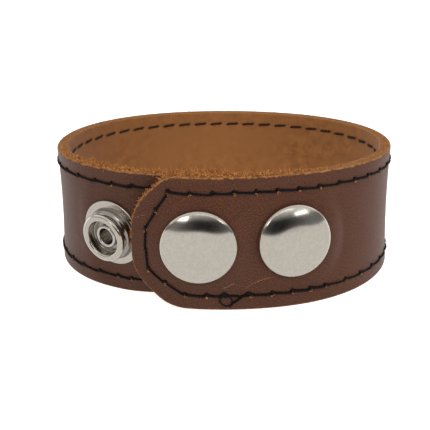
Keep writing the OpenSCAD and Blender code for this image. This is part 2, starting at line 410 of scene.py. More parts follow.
def across_places(low, high):
    """Heights of the points across one section, from its lower to its upper edge."""
    near = np.array([0, 0.03, 0.1, 0.2, 0.35, 0.7, 1.2, 1.8, 2.3, 2.65, 2.95, 3.25, 3.55, 3.9, 4.4])
    middle = np.linspace(0, 1, 18)[1:-1]
    inside = low + near[-1] + (high - low - 2 * near[-1]) * middle
    return np.concatenate([low + near, inside, high - near[::-1]])


def strap_grid():
    """Where the grid's points lie on the flat strap. The rows follow the cut corners."""
    along = ring_places()
    low, high = edges_at(along)
    up = np.array([across_places(a, b) for a, b in zip(low, high)])
    return np.repeat(along[:, None], up.shape[1], axis=1), up


ALONG, UP = strap_grid()
EDGE = to_outline(ALONG, UP)
HOLE = to_hole(ALONG, UP)
FUZZ = fuzz(ALONG, UP)
print("strap grid:", ALONG.shape)


# %% Cells cut away for the barrels
DRILL_R = 2.9       # the leather is cut away round each barrel, out of sight under the snap


def drilled():
    """Which cells of the grid are cut away for the four barrels."""
    middle_along = (ALONG[1:, 1:] + ALONG[:-1, :-1]) / 2
    middle_up = (UP[1:, 1:] + UP[:-1, 1:] + UP[1:, :-1] + UP[:-1, :-1]) / 4
    cut = np.zeros(middle_along.shape, bool)
    for _, at, above, _, _ in HOLDS:
        cut |= np.hypot(middle_along - at, middle_up - WIDTH / 2 - above) < DRILL_R
    return cut


DRILLED = drilled()
print("cells drilled away:", int(DRILLED.sum()), "of", DRILLED.size)


# %% Points of the strap
LEVELS = 5          # points through the thickness, at the cut edge
DENT = 0.25         # mm that the thread pulls the leather in at a hole
DENT_R = 0.6        # mm from a hole, where the dent is about a third as deep


def strap_faces_depth():
    """Depth of the outer and inner face at each grid point, and how much of a dent is there."""
    near_edge = np.clip(1 - EDGE / WEAR, 0, 1)
    worn = WEAR * (1 - np.sqrt(1 - near_edge ** 2))
    dent = np.exp(-(HOLE / DENT_R) ** 2)
    outer = SKIN - worn - DENT * dent
    return outer, -outer, dent


OUTER, INNER, DENTED = strap_faces_depth()
print("thinnest and thickest leather, mm:", (OUTER - INNER).min().round(2), (OUTER - INNER).max().round(2))


# %% Faces of the strap
GRAIN, CUT, SUEDE = 0, 1, 2         # the three materials, by their place in the strap's list


def strap_corners():
    """Corners of every face as (ring, point, level), and the kind of leather that the face shows."""
    rings, points = ALONG.shape
    last = LEVELS - 1
    faces, kinds = [], []

    def face(kind, *corners):
        faces.append(corners)
        kinds.append(kind)

    for r in range(rings - 1):
        for p in range(points - 1):
            sides = (((r, p), (r + 1, p)), ((r + 1, p), (r + 1, p + 1)),
                     ((r + 1, p + 1), (r, p + 1)), ((r, p + 1), (r, p)))
            if DRILLED[r, p]:
                beside = ((r, p - 1), (r + 1, p), (r, p + 1), (r - 1, p))
                for (a, b), cell in zip(sides, beside):
                    if not DRILLED[cell]:
                        face(CUT, (*a, 0), (*b, 0), (*b, last), (*a, last))
                continue
            face(GRAIN, *[(*a, 0) for a, _ in sides])
            face(SUEDE, *[(*a, last) for a, _ in reversed(sides)])
        for k in range(last):
            top = points - 1
            face(CUT, (r, top, k), (r + 1, top, k), (r + 1, top, k + 1), (r, top, k + 1))
            face(CUT, (r, 0, k), (r, 0, k + 1), (r + 1, 0, k + 1), (r + 1, 0, k))
    for p in range(points - 1):
        for k in range(last):
            end = rings - 1
            face(CUT, (0, p, k), (0, p + 1, k), (0, p + 1, k + 1), (0, p, k + 1))
            face(CUT, (end, p, k), (end, p, k + 1), (end, p + 1, k + 1), (end, p + 1, k))
    return faces, kinds


CORNERS, KINDS = strap_corners()
print("faces of grain, cut edge and suede:", [KINDS.count(kind) for kind in (GRAIN, CUT, SUEDE)])


# %% The strap's mesh
MAP_MM = 10         # one unit of the strap's map is 10 mm


def strap_mesh():
    """The strap's closed mesh, with its kinds of leather, its map and what its finishes read."""
    index = {corner: k for k, corner in enumerate(dict.fromkeys(c for face in CORNERS for c in face))}
    ring, point, level = np.array(list(index)).T
    share = np.linspace(0, 1, LEVELS)[level]
    outer, inner = OUTER[ring, point], INNER[ring, point]
    along, up, depth = ALONG[ring, point], UP[ring, point], outer + (inner - outer) * share
    faces = [[index[c] for c in face] for face in CORNERS]
    mesh = bpy.data.meshes.new("strap_leather")
    mesh.from_pydata((on_strap(along, up, depth) * MM).tolist(), [], faces)
    mesh.polygons.foreach_set("material_index", KINDS)
    mesh.polygons.foreach_set("use_smooth", [True] * len(faces))
    for name, values in (("edge_mm", EDGE), ("hole", DENTED), ("fuzz", FUZZ)):
        attribute = mesh.attributes.new(name, "FLOAT", "POINT")
        attribute.data.foreach_set("value", values[ring, point])
    # Across a cut edge, depth takes the place of height in the map
    corners = np.array(faces).ravel()
    across = np.where(np.repeat(KINDS, 4) == CUT, depth[corners], up[corners])
    uv = mesh.uv_layers.new(name="strap")
    uv.data.foreach_set("uv", np.stack([along[corners], across], axis=-1).ravel() / MAP_MM)
    mesh.update()
    return mesh


def new_piece(name, data):
    """An object of that mesh or lamp, in the scene."""
    piece = bpy.data.objects.new(name, data)
    bpy.context.scene.collection.objects.link(piece)
    return piece


strap = new_piece("strap_leather", strap_mesh())
print("strap faces:", len(strap.data.polygons))


# %% Check that a closed mesh faces outwards
def face_outwards(piece):
    """Turns the faces outwards, and gives the count of open edges and the volume in mm3."""
    shape = bmesh.new()
    shape.from_mesh(piece.data)
    bmesh.ops.recalc_face_normals(shape, faces=shape.faces)
    open_edges = sum(1 for e in shape.edges if len(e.link_faces) != 2)
    volume = shape.calc_volume(signed=True)
    shape.to_mesh(piece.data)
    shape.free()
    return open_edges, volume / MM ** 3


print("strap open edges and mm3:", face_outwards(strap))

# %% [markdown]
# ## Colours and a small node helper
# Colours are read from the photo as sRGB hex values, and Blender mixes linear light, so one function turns
# them. One more adds a node with its settings and links. Where a node has several sockets of one name, a
# number picks one: on a Mix node 0 is the share, and 6 and 7 are its two colours. All the materials below are
# made with these.


# %% Helpers for materials
def colour(hex_value):
    """An sRGB hex value as linear light."""
    parts = [int(hex_value[i:i + 2], 16) / 255 for i in (1, 3, 5)]
    linear = [c / 12.92 if c <= 0.04045 else ((c + 0.055) / 1.055) ** 2.4 for c in parts]
    return (*linear, 1)


def add(tree, kind, inputs=None, **settings):
    """Adds a node. Inputs maps a socket to a value, or to the output that feeds it."""
    made = tree.nodes.new(kind)
    for name, value in settings.items():
        setattr(made, name, value)
    for socket, value in (inputs or {}).items():
        if isinstance(value, bpy.types.NodeSocket):
            tree.links.new(value, made.inputs[socket])
        else:
            made.inputs[socket].default_value = value
    return made


def new_finish(name, **shader_values):
    """A material, its tree, and its shader with those values set."""
    material = bpy.data.materials.new(name)
    material.use_nodes = True
    shader = material.node_tree.nodes["Principled BSDF"]
    for socket, value in shader_values.items():
        shader.inputs[socket.replace("_", " ")].default_value = value
    return material, material.node_tree, shader


print("the grey #808080 in linear light:", [round(c, 3) for c in colour("#808080")])

# %% [markdown]
# ## Grain side: waxed, oil-tanned leather
# The outside is full-grain cowhide, dyed brown and waxed. The eye sees three things: soft clouds of lighter
# and darker brown, fine pale flecks where the wax has rubbed off the tips of the grain, and a dull sheen that
# turns grey where the surface is seen at a low angle. A picture of leather would repeat, and blur up close,
# so noise draws them, each at its real size: the pores, for one, are about 0.3 mm.


# %% Patterns in millimetres
def in_mm(tree, at, unit_mm):
    """Scales places so that one unit is one millimetre, and a pattern's scale is one over its real size."""
    return add(tree, "ShaderNodeVectorMath", {0: at, 1: (unit_mm,) * 3}, operation="MULTIPLY").outputs[0]


def strap_mm(tree):
    """The strap's own map: along it and up its width."""
    uv = add(tree, "ShaderNodeUVMap", uv_map="strap").outputs["UV"]
    return in_mm(tree, uv, MAP_MM)


def object_mm(tree):
    """Places in the piece's own space, which suits metal and thread."""
    at = add(tree, "ShaderNodeTexCoord").outputs["Object"]
    return in_mm(tree, at, 1 / MM)


print("millimetres in a unit of the strap's map and of a piece's space:", MAP_MM, round(1 / MM))


# %% Scratches in the wax
# Three places on each, in mm along the strap and up its width
SCRATCHES = (
    ((0.5, 19.0), (2.0, 19.9), (3.4, 20.4)),
    ((197.8, 9.7), (201.3, 8.9), (202.6, 6.3)),
    ((18.3, 4.8), (19.8, 5.6), (21.3, 6.2)),
    ((23.1, 4.7), (26.0, 6.3), (29.4, 6.9)),
)
SCRATCH_WIDE = 0.11


def circle_through(a, b, c):
    """Centre and radius of the circle through three places."""
    a, b, c = (np.array(p) for p in (a, b, c))
    sides = 2 * np.array([b - a, c - a])
    centre = np.linalg.solve(sides, [b @ b - a @ a, c @ c - a @ a])
    return (*centre.tolist(), 0), float(np.linalg.norm(a - centre))


def scratch(tree, at, places):
    """1 on the arc through three places, 0 beside it and past its ends."""
    centre, radius = circle_through(*places)
    middle = (*places[1], 0)
    reach = math.dist(places[0], places[2]) / 2
    from_centre = add(tree, "ShaderNodeVectorMath", {0: at, 1: centre}, operation="DISTANCE").outputs["Value"]
    off = add(tree, "ShaderNodeMath", {0: from_centre, 1: radius}, operation="SUBTRACT").outputs[0]
    off = add(tree, "ShaderNodeMath", {0: off}, operation="ABSOLUTE").outputs[0]
    line = add(tree, "ShaderNodeMapRange", {
        "Value": off, "From Min": SCRATCH_WIDE, "From Max": 0.0}).outputs[0]
    from_middle = add(tree, "ShaderNodeVectorMath", {0: at, 1: middle}, operation="DISTANCE").outputs["Value"]
    ends = add(tree, "ShaderNodeMapRange", {
        "Value": from_middle, "From Min": reach, "From Max": reach * 0.6}).outputs[0]
    return add(tree, "ShaderNodeMath", {0: line, 1: ends}, operation="MULTIPLY").outputs[0]


print("circle of the first scratch, mm:", np.round(circle_through(*SCRATCHES[0])[0], 1))


# %% Colour of the grain
DEEP_BROWN = "#2b120b"
SADDLE_BROWN = "#381a10"
WARM_BROWN = "#402014"
GRAIN_TIP = "#744627"
BARE_LEATHER = "#bd9068"


def grain_colour(tree, at, stretched):
    """Clouds of 9 mm, mottle of 0.8 mm, then the pale tips of the grain, about 0.2 mm across."""
    clouds = add(tree, "ShaderNodeTexNoise", {
        "Vector": at, "Scale": 1 / 9, "Detail": 3, "Roughness": 0.6}).outputs[0]
    clouds = add(tree, "ShaderNodeMapRange", {"Value": clouds, "From Min": 0.35, "From Max": 0.65}).outputs[0]
    brown = add(tree, "ShaderNodeMix", {
        0: clouds, 6: colour(DEEP_BROWN), 7: colour(SADDLE_BROWN)}, data_type="RGBA").outputs[2]
    mottle = add(tree, "ShaderNodeTexNoise", {
        "Vector": at, "Scale": 1 / 0.8, "Detail": 4, "Roughness": 0.65}).outputs[0]
    warm = add(tree, "ShaderNodeMapRange", {"Value": mottle, "From Min": 0.35, "From Max": 0.75}).outputs[0]
    brown = add(tree, "ShaderNodeMix", {
        0: warm, 6: brown, 7: colour(WARM_BROWN)}, data_type="RGBA").outputs[2]
    tips = add(tree, "ShaderNodeTexNoise", {
        "Vector": stretched, "Scale": 1 / 0.18, "Detail": 3, "Roughness": 0.6}).outputs[0]
    tips = add(tree, "ShaderNodeMapRange", {
        "Value": tips, "From Min": 0.42, "From Max": 0.68, "To Max": 0.7}).outputs[0]
    brown = add(tree, "ShaderNodeMix", {0: tips, 6: brown, 7: colour(GRAIN_TIP)}, data_type="RGBA").outputs[2]
    return brown, mottle, tips


def scratched(tree, at, brown, tips):
    """The wax is off along each scratch, so the pale leather shows between the tips of the grain."""
    dots = add(tree, "ShaderNodeMapRange", {"Value": tips, "From Max": 0.4, "To Max": 0.5}).outputs[0]
    for places in SCRATCHES:
        line = scratch(tree, at, places)
        pale = add(tree, "ShaderNodeMath", {0: line, 1: dots}, operation="MULTIPLY").outputs[0]
        brown = add(tree, "ShaderNodeMix", {
            0: pale, 6: brown, 7: colour(BARE_LEATHER)}, data_type="RGBA").outputs[2]
    return brown


tip_share = colour(GRAIN_TIP)[0] / colour(DEEP_BROWN)[0]
print("in red, the grain's tips are", round(tip_share), "times as bright as its deepest brown")


# %% Worn border and relief of the grain
RUBBED_TAN = "#96653a"
# The next colour is painted shade in the stitch holes, with the black thread that lies in them
HOLE_THREAD_AND_SHADE = "#110a07"


def rubbed_border(tree, at, brown):
    """Where the wax has rubbed off beside the cut edge, with a ragged limit, and painted shade with dark
    thread in the holes.
    """
    edge = add(tree, "ShaderNodeAttribute", attribute_name="edge_mm").outputs["Fac"]
    ragged = add(tree, "ShaderNodeTexNoise", {"Vector": at, "Scale": 1 / 0.8, "Detail": 2}).outputs[0]
    border = add(tree, "ShaderNodeMath", {0: edge, 1: ragged}, operation="ADD").outputs[0]
    border = add(tree, "ShaderNodeMapRange", {"Value": border, "From Min": 0.8, "From Max": 0.5}).outputs[0]
    brown = add(tree, "ShaderNodeMix", {
        0: border, 6: brown, 7: colour(RUBBED_TAN)}, data_type="RGBA").outputs[2]
    # Near each hole the colour turns nearly black: painted shade in the dent, with the black thread that lies
    # in it
    hole = add(tree, "ShaderNodeAttribute", attribute_name="hole").outputs["Fac"]
    hole = add(tree, "ShaderNodeMapRange", {"Value": hole, "From Min": 0.4, "From Max": 0.9}).outputs[0]
    brown = add(tree, "ShaderNodeMix", {0: hole, 6: brown, 7: colour(HOLE_THREAD_AND_SHADE)}, data_type="RGBA").outputs[2]
    return brown, border


def grain_relief(tree, at, stretched):
    """Pores of 0.3 mm and creases of 1.1 mm, a tenth of a millimetre deep."""
    pores = add(tree, "ShaderNodeTexNoise", {
        "Vector": at, "Scale": 1 / 0.3, "Detail": 3, "Roughness": 0.7}).outputs[0]
    creases = add(tree, "ShaderNodeTexNoise", {
        "Vector": stretched, "Scale": 1 / 1.1, "Detail": 3, "Roughness": 0.6}).outputs[0]
    height = add(tree, "ShaderNodeMath", {0: pores, 1: creases}, operation="ADD").outputs[0]
    return add(tree, "ShaderNodeBump", {"Strength": 0.5, "Distance": 0.1 * MM, "Height": height}).outputs[0]


def grain_finish():
    """Colour, gloss and relief of the waxed outside."""
    material, tree, shader = new_finish("waxed_full_grain_leather", IOR=1.46, Specular_IOR_Level=0.33)
    at = strap_mm(tree)
    # The grain is stretched along the strap, as on a hide
    stretched = add(tree, "ShaderNodeVectorMath", {0: at, 1: (1, 0.6, 1)}, operation="MULTIPLY").outputs[0]
    brown, mottle, tips = grain_colour(tree, at, stretched)
    brown = scratched(tree, at, brown, tips)
    brown, border = rubbed_border(tree, at, brown)
    rough = add(tree, "ShaderNodeMapRange", {"Value": mottle, "To Min": 0.4, "To Max": 0.6}).outputs[0]
    rough = add(tree, "ShaderNodeMath", {0: border, 1: 0.35, 2: rough}, operation="MULTIPLY_ADD").outputs[0]
    tree.links.new(brown, shader.inputs["Base Color"])
    tree.links.new(rough, shader.inputs["Roughness"])
    tree.links.new(grain_relief(tree, at, stretched), shader.inputs["Normal"])
    return material


grain = grain_finish()
print(grain.name, "has", len(grain.node_tree.nodes), "nodes")

# %% [markdown]
# ## Cut edge and suede side
# The edge is raw leather, never sealed: a lighter tan core with fibres that run along the strap and stand up
# in tufts. The inside is the flesh side, brushed to a golden suede. Its nap lies in patches, and the left of
# the loop has painted shade, where the nap points away from the eye. Neither shines. Fibres that stand free
# come later, as a mesh, and noise that is drawn out along the strap gives those that lie flat.


# %% Raw edge
EDGE_SHADE = "#502f15"
EDGE_FIBRE = "#ae763e"
EDGE_PATCH = "#744721"


def edge_finish():
    """Bright and dark fibres that lie along the strap, and darker patches of 3 mm."""
    material, tree, shader = new_finish("raw_cut_leather_edge", Roughness=0.9, Specular_IOR_Level=0.25)
    at = strap_mm(tree)
    drawn_out = add(tree, "ShaderNodeVectorMath", {0: at, 1: (0.45, 1, 1)}, operation="MULTIPLY").outputs[0]
    fibres = add(tree, "ShaderNodeTexNoise", {
        "Vector": drawn_out, "Scale": 1 / 0.35, "Detail": 4, "Roughness": 0.7}).outputs[0]
    bright = add(tree, "ShaderNodeMapRange", {"Value": fibres, "From Min": 0.35, "From Max": 0.68}).outputs[0]
    tan = add(tree, "ShaderNodeMix", {
        0: bright, 6: colour(EDGE_SHADE), 7: colour(EDGE_FIBRE)}, data_type="RGBA").outputs[2]
    patches = add(tree, "ShaderNodeTexNoise", {
        "Vector": at, "Scale": 1 / 3, "Detail": 3, "Roughness": 0.6}).outputs[0]
    patches = add(tree, "ShaderNodeMapRange", {
        "Value": patches, "From Min": 0.4, "From Max": 0.75}).outputs[0]
    tan = add(tree, "ShaderNodeMix", {0: patches, 6: tan, 7: colour(EDGE_PATCH)}, data_type="RGBA").outputs[2]
    bump = add(tree, "ShaderNodeBump", {"Strength": 0.9, "Distance": 0.2 * MM, "Height": fibres})
    tree.links.new(tan, shader.inputs["Base Color"])
    tree.links.new(bump.outputs[0], shader.inputs["Normal"])
    return material


raw_edge = edge_finish()
print(raw_edge.name, "has", len(raw_edge.node_tree.nodes), "nodes")


# %% Suede
NAP_SHADE = "#744726"
NAP_GOLD = "#9c6737"
NAP_CLOUD = "#8c5b31"
NAP_TIP = "#ac7844"
# The next colour is painted shade on the left of the loop, where the nap points away from the eye; the span
# after it is where that shade grows from none to full
NAP_PAINTED_SHADE = "#5c351b"
PAINTED_SHADE_SPAN = (130, 185)      # mm along, from where the nap starts to lean away to where it does fully


def suede_finish():
    """Patches of 2.6 mm, clouds of 14 mm, and the pale tips of a nap that is drawn at about 0.16 mm."""
    material, tree, shader = new_finish(
        "brushed_suede", Roughness=0.95, Specular_IOR_Level=0.2, Sheen_Weight=0.12, Sheen_Roughness=0.5)
    at = strap_mm(tree)
    patches = add(tree, "ShaderNodeTexNoise", {
        "Vector": at, "Scale": 1 / 2.6, "Detail": 4, "Roughness": 0.6}).outputs[0]
    light = add(tree, "ShaderNodeMapRange", {"Value": patches, "From Min": 0.28, "From Max": 0.7}).outputs[0]
    gold = add(tree, "ShaderNodeMix", {
        0: light, 6: colour(NAP_SHADE), 7: colour(NAP_GOLD)}, data_type="RGBA").outputs[2]
    clouds = add(tree, "ShaderNodeTexNoise", {"Vector": at, "Scale": 1 / 14, "Detail": 2}).outputs[0]
    clouds = add(tree, "ShaderNodeMapRange", {"Value": clouds, "From Min": 0.4, "From Max": 0.65}).outputs[0]
    gold = add(tree, "ShaderNodeMix", {0: clouds, 6: gold, 7: colour(NAP_CLOUD)}, data_type="RGBA").outputs[2]
    nap = add(tree, "ShaderNodeTexNoise", {
        "Vector": at, "Scale": 1 / 0.16, "Detail": 3, "Roughness": 0.7}).outputs[0]
    tips = add(tree, "ShaderNodeMapRange", {"Value": nap, "From Min": 0.5, "From Max": 0.75}).outputs[0]
    gold = add(tree, "ShaderNodeMix", {0: tips, 6: gold, 7: colour(NAP_TIP)}, data_type="RGBA").outputs[2]
    along = add(tree, "ShaderNodeSeparateXYZ", {0: at}).outputs["X"]
    # Painted shade: darker along the left of the loop, where the nap points away from the eye
    painted_shade_left = add(tree, "ShaderNodeMapRange", {
        "Value": along, "From Min": PAINTED_SHADE_SPAN[0], "From Max": PAINTED_SHADE_SPAN[1], "To Max": 0.6}).outputs[0]
    gold = add(tree, "ShaderNodeMix", {
        0: painted_shade_left, 6: gold, 7: colour(NAP_PAINTED_SHADE)}, data_type="RGBA").outputs[2]
    height = add(tree, "ShaderNodeMath", {0: nap, 1: patches}, operation="ADD").outputs[0]
    bump = add(tree, "ShaderNodeBump", {"Strength": 0.6, "Distance": 0.2 * MM, "Height": height})
    tree.links.new(gold, shader.inputs["Base Color"])
    tree.links.new(bump.outputs[0], shader.inputs["Normal"])
    return material


for finish in (grain, raw_edge, suede_finish()):    # in the order of GRAIN, CUT and SUEDE
    strap.data.materials.append(finish)
print("strap finishes:", [m.name for m in strap.data.materials])

# %% [markdown]
# ## The snaps
# Each snap part was pressed from thin sheet and plated with nickel. All are round, so each is drawn as half
# a section beside its axis and turned, with the rounds that a press leaves on every corner. Turned parts of
# 128 steps with smooth shading show no flats at this size. A Screw modifier could turn them as well, but a
# short function also notes on each point how deep it lies, for the painted shade deep in the studs.


# %% Arcs and straight runs of a section
LONG_RUN = 0.5      # mm, a straight run that needs support
CORNER = 0.04       # mm from a corner to its support


def arc(centre, radius, from_deg, to_deg, steps):
    """Points of an arc, as (distance from the axis, height)."""
    angles = np.radians(np.linspace(from_deg, to_deg, steps + 1))
    return [(centre[0] + radius * math.cos(a), centre[1] + radius * math.sin(a)) for a in angles]


def with_supports(section):
    """Points just inside both ends of each long straight run, so that smooth shading leaves it flat."""
    more = []
    for a, b in zip(section, section[1:] + section[:1]):
        more.append(a)
        run = math.dist(a, b)
        if run > LONG_RUN and max(a[0], b[0]) > 0:
            for share in (CORNER / run, 1 - CORNER / run):
                more.append((a[0] + (b[0] - a[0]) * share, a[1] + (b[1] - a[1]) * share))
    return more


plate = with_supports([(0, 0), (2, 0), (2, 1), (0, 1)])
print("points of a plate's section with supports:", len(plate))


# %% Turn a section about its axis
TURN_STEPS = 128
HEAD_R = 5.4        # the ring-shaped head of a stud
NECK_R = 5.97       # the widest place of a stud's neck, just inside its flange


def painted_shade_depth(r, h, top_r, top_h):
    """How far below a stud's head a point lies, in mm, for the painted shade deep in the stud."""
    is_stud = top_r > HEAD_R / 2
    return top_h - h if is_stud and r < NECK_R else 0.0


def turned(name, section, place):
    """A closed ring of the section, or a solid where the section's ends touch the axis."""
    centre, axis = place
    side = unit(np.cross((0, 0, 1), axis))
    over = np.cross(axis, side)
    section = with_supports(section)
    top_r, top_h = max(section, key=lambda row: row[1])
    rings, verts, dust_and_shade = [], [], []
    for r, h in section:
        steps = TURN_STEPS if r > 0 else 1
        rings.append([len(verts) + k for k in range(steps)])
        # How deep the point lies in a stud, for the painted shade there
        dust_and_shade += [painted_shade_depth(r, h, top_r, top_h)] * steps
        for k in range(steps):
            a = 2 * math.pi * k / steps
            verts.append(centre + axis * h + (side * math.cos(a) + over * math.sin(a)) * r)
    faces = []
    for a, b in zip(rings, rings[1:] + rings[:1]):
        for k in range(TURN_STEPS):
            corners = [a[k % len(a)], a[(k + 1) % len(a)], b[(k + 1) % len(b)], b[k % len(b)]]
            corners = list(dict.fromkeys(corners))
            if len(corners) > 2:
                faces.append(corners)
    mesh = bpy.data.meshes.new(name)
    mesh.from_pydata([tuple(v * MM) for v in verts], [], faces)
    mesh.attributes.new("shade_depth_mm", "FLOAT", "POINT").data.foreach_set("value", dust_and_shade)
    piece = new_piece(name, mesh)
    open_edges, volume = face_outwards(piece)
    mesh.polygons.foreach_set("use_smooth", [True] * len(faces))
    print(name, "faces", len(faces), "open edges", open_edges, "mm3", round(volume, 1))
    return piece


print("one step of a turned part:", 360 / TURN_STEPS, "degrees")


# %% Cap and barrel, in mm
BARREL_R = 2.2
BORE_R = 1.8
LIP_R = 0.4
CAP_R = 8.0
CAP_H = 2.5
CROWN_R = 25.5
CROWN_LEAN = 8.5    # degrees of slope where the flat crown turns into the shoulder
SHOULDER_R = 11.2
RIM_R = 1.0


def barrel(bottom, top):
    """A barrel's outline from its bore, over its rolled top, and down its outside."""
    lip = arc((BORE_R + LIP_R, top - LIP_R), LIP_R, 180, -90, 18)
    return [(BORE_R, bottom)] + lip + [(BARREL_R, bottom)]


def cap_section():
    """A dome that steepens over its shoulder into a rounded rim, with its barrel below."""
    lean = math.radians(CROWN_LEAN)
    crown_h = CAP_H - CROWN_R
    shoulder_x = (CROWN_R - SHOULDER_R) * math.sin(lean)
    shoulder_h = crown_h + (CROWN_R - SHOULDER_R) * math.cos(lean)
    rim_x = CAP_R - RIM_R
    rim_lean = math.asin((rim_x - shoulder_x) / (SHOULDER_R - RIM_R))
    rim_h = shoulder_h + (SHOULDER_R - RIM_R) * math.cos(rim_lean)
    rim_from = 90 - math.degrees(rim_lean)
    dome = [(0, CAP_H)] + arc((0, crown_h), CROWN_R, 90, 90 - CROWN_LEAN, 16)[1:]
    dome += arc((shoulder_x, shoulder_h), SHOULDER_R, 90 - CROWN_LEAN, rim_from, 24)[1:]
    dome += arc((rim_x, rim_h), RIM_R, rim_from, 0, 12)[1:] + [(CAP_R - 0.1, 0)]
    length = 3 * GAP + THICK + SHEET + 2 * LIP_R
    below = [(r, -h) for r, h in reversed(barrel(0, length))] + [(0, 0)]
    return [(r, h + GAP) for r, h in dome + below]


print("points of the cap's section:", len(cap_section()))


# %% Socket, stud and post, in mm
SOCKET_R = 6.2
SOCKET_H = 2.5
SOCKET_BACK_R = 0.6     # round at the back of the socket
MOUTH_R = HEAD_R + GAP
MOUTH_ROUND = 0.12
HOLE_R = BARREL_R + GAP
POST_HEAD_R = 5.0
POST_TOP = 2.7


def socket_section():
    """A cup with a rounded lip, open for a stud's head."""
    back = SOCKET_BACK_R
    lip_h = SOCKET_H - MOUTH_ROUND
    wall = [(HOLE_R, 0)] + arc((SOCKET_R - back, back), back, -90, 0, 8)
    lip = arc((SOCKET_R - MOUTH_ROUND, lip_h), MOUTH_ROUND, 0, 90, 4)
    lip += arc((MOUTH_R + MOUTH_ROUND, lip_h), MOUTH_ROUND, 90, 180, 4)
    inside = [(MOUTH_R, SHEET + 0.15), (MOUTH_R - 0.15, SHEET), (HOLE_R, SHEET)]
    return [(r, -THICK - GAP - h) for r, h in wall + lip + inside]


def stud_section():
    """A flange, a neck with a bead and a groove, and a ring-shaped head round a hollow."""
    flange = [(HOLE_R, 0), (7.4, 0)] + arc((7.25, 0.2), 0.2, -60, 90, 8)
    foot = [(5.95, SHEET)] + arc((5.95, 0.75), 0.35, 270, 180, 6)
    bead = [(5.6, 1.1)] + arc((5.1, 1.15), 0.5, 10, 60, 5)
    groove = [(4.95, 1.85)] + arc((5.1, 2.25), 0.3, 150, 215, 4)
    head = arc((5.05, 2.95), 0.35, -60, 0, 5) + arc((4.75, 3.1), 0.65, 0, 90, 10)
    hollow = arc((4.4, 3.25), 0.5, 90, 180, 8) + arc((3.6, 1.9), 0.3, 0, -90, 5) + [(HOLE_R, 1.6)]
    return [(r, h + GAP) for r, h in flange + foot + bead + groove + head + hollow]


def post_section():
    """A hollow barrel on a flat round head, which lies inside the strap."""
    back = -THICK - GAP
    bottom = back - 0.3
    tube = barrel(bottom, POST_TOP)[:-1] + [(BARREL_R, back)]
    head = [(POST_HEAD_R - 0.12, back)] + arc((POST_HEAD_R - 0.1, bottom), 0.3, 20, -80, 6)
    return [(0, bottom)] + tube + head + [(0, back - 0.62)]


for section in (socket_section, stud_section, post_section):
    print(section.__name__, "has", len(section()), "points")

# %% [markdown]
# ## Satin nickel plate
# Nickel is a slightly warm white metal. The plate was tumbled, not polished, so reflections are soft, with a
# fine speckle of pits and dust. Roughness from 0.12 to 0.24 keeps the studio's bands readable but not sharp.
# Deep in a stud the plate is painted darker, as painted shade and a painted reflection of the dark around it:
# each turned part carries its depth there as an attribute. The posts were plated apart from the studs, and
# are a cooler and greyer white.


# %% Nickel
DUSTY = "#cfc6b9"
# The next colour is painted shade and painted reflection, deep in the studs
DEEP_PAINTED_SHADE = "#453a33"


def nickel_finish(name, base, rough_low, rough_high):
    """Plate with specks of 0.7 mm, painted shade deep down, and a haze of 2.5 mm over its gloss."""
    material, tree, shader = new_finish(name, Metallic=1.0)
    at = object_mm(tree)
    specks = add(tree, "ShaderNodeTexNoise", {
        "Vector": at, "Scale": 1 / 0.7, "Detail": 5, "Roughness": 0.7}).outputs[0]
    dust_and_shade = add(tree, "ShaderNodeMapRange", {"Value": specks, "From Min": 0.4, "From Max": 0.75}).outputs[0]
    tone = add(tree, "ShaderNodeMix", {
        0: dust_and_shade, 6: colour(base), 7: colour(DUSTY)}, data_type="RGBA").outputs[2]
    # Painted shade: the deeper a point lies in a stud, the darker the plate, for shade and the dark it
    # reflects
    deep = add(tree, "ShaderNodeAttribute", attribute_name="shade_depth_mm").outputs["Fac"]
    deep = add(tree, "ShaderNodeMapRange", {
        "Value": deep, "From Min": 0.3, "From Max": 3.0, "To Max": 0.62}).outputs[0]
    tone = add(tree, "ShaderNodeMix", {0: deep, 6: tone, 7: colour(DEEP_PAINTED_SHADE)}, data_type="RGBA").outputs[2]
    haze = add(tree, "ShaderNodeTexNoise", {
        "Vector": at, "Scale": 1 / 2.5, "Detail": 3, "Roughness": 0.6}).outputs[0]
    rough = add(tree, "ShaderNodeMapRange", {
        "Value": haze, "To Min": rough_low, "To Max": rough_high}).outputs[0]
    bump = add(tree, "ShaderNodeBump", {"Strength": 0.04, "Distance": 0.03 * MM, "Height": specks})
    tree.links.new(tone, shader.inputs["Base Color"])
    tree.links.new(rough, shader.inputs["Roughness"])
    tree.links.new(bump.outputs[0], shader.inputs["Normal"])
    return material


cap_nickel = nickel_finish("satin_nickel_caps", "#dcd4c8", 0.12, 0.18)
stud_nickel = nickel_finish("satin_nickel_studs", "#d6cec3", 0.13, 0.2)
post_nickel = nickel_finish("satin_nickel_posts", "#dcd9d6", 0.16, 0.24)
print("nickel finishes:", [finish.name for finish in (cap_nickel, stud_nickel, post_nickel)])

# %% Make the eight snap parts
SNAPS = (
    ("cap_fastened", cap_section, SEAT_FASTENED, cap_nickel),
    ("cap_open", cap_section, SEAT_OPEN, cap_nickel),
    ("socket_fastened", socket_section, SEAT_FASTENED, stud_nickel),
    ("socket_open", socket_section, SEAT_OPEN, stud_nickel),
    ("stud_fastened", stud_section, SEAT_HIDDEN, stud_nickel),
    ("stud_exposed", stud_section, SEAT_EXPOSED, stud_nickel),
    ("post_fastened", post_section, SEAT_HIDDEN, post_nickel),
    ("post_exposed", post_section, SEAT_EXPOSED, post_nickel),
)
# Each piece with the solids that it stands for, and its material slot
pieces = [(strap, ("strap",), "leather")]
for node_name, section, place, finish in SNAPS:
    part = turned("nickel_" + node_name, section(), place)
    part.data.materials.append(finish)
    pieces.append((part, (node_name,), "nickel"))

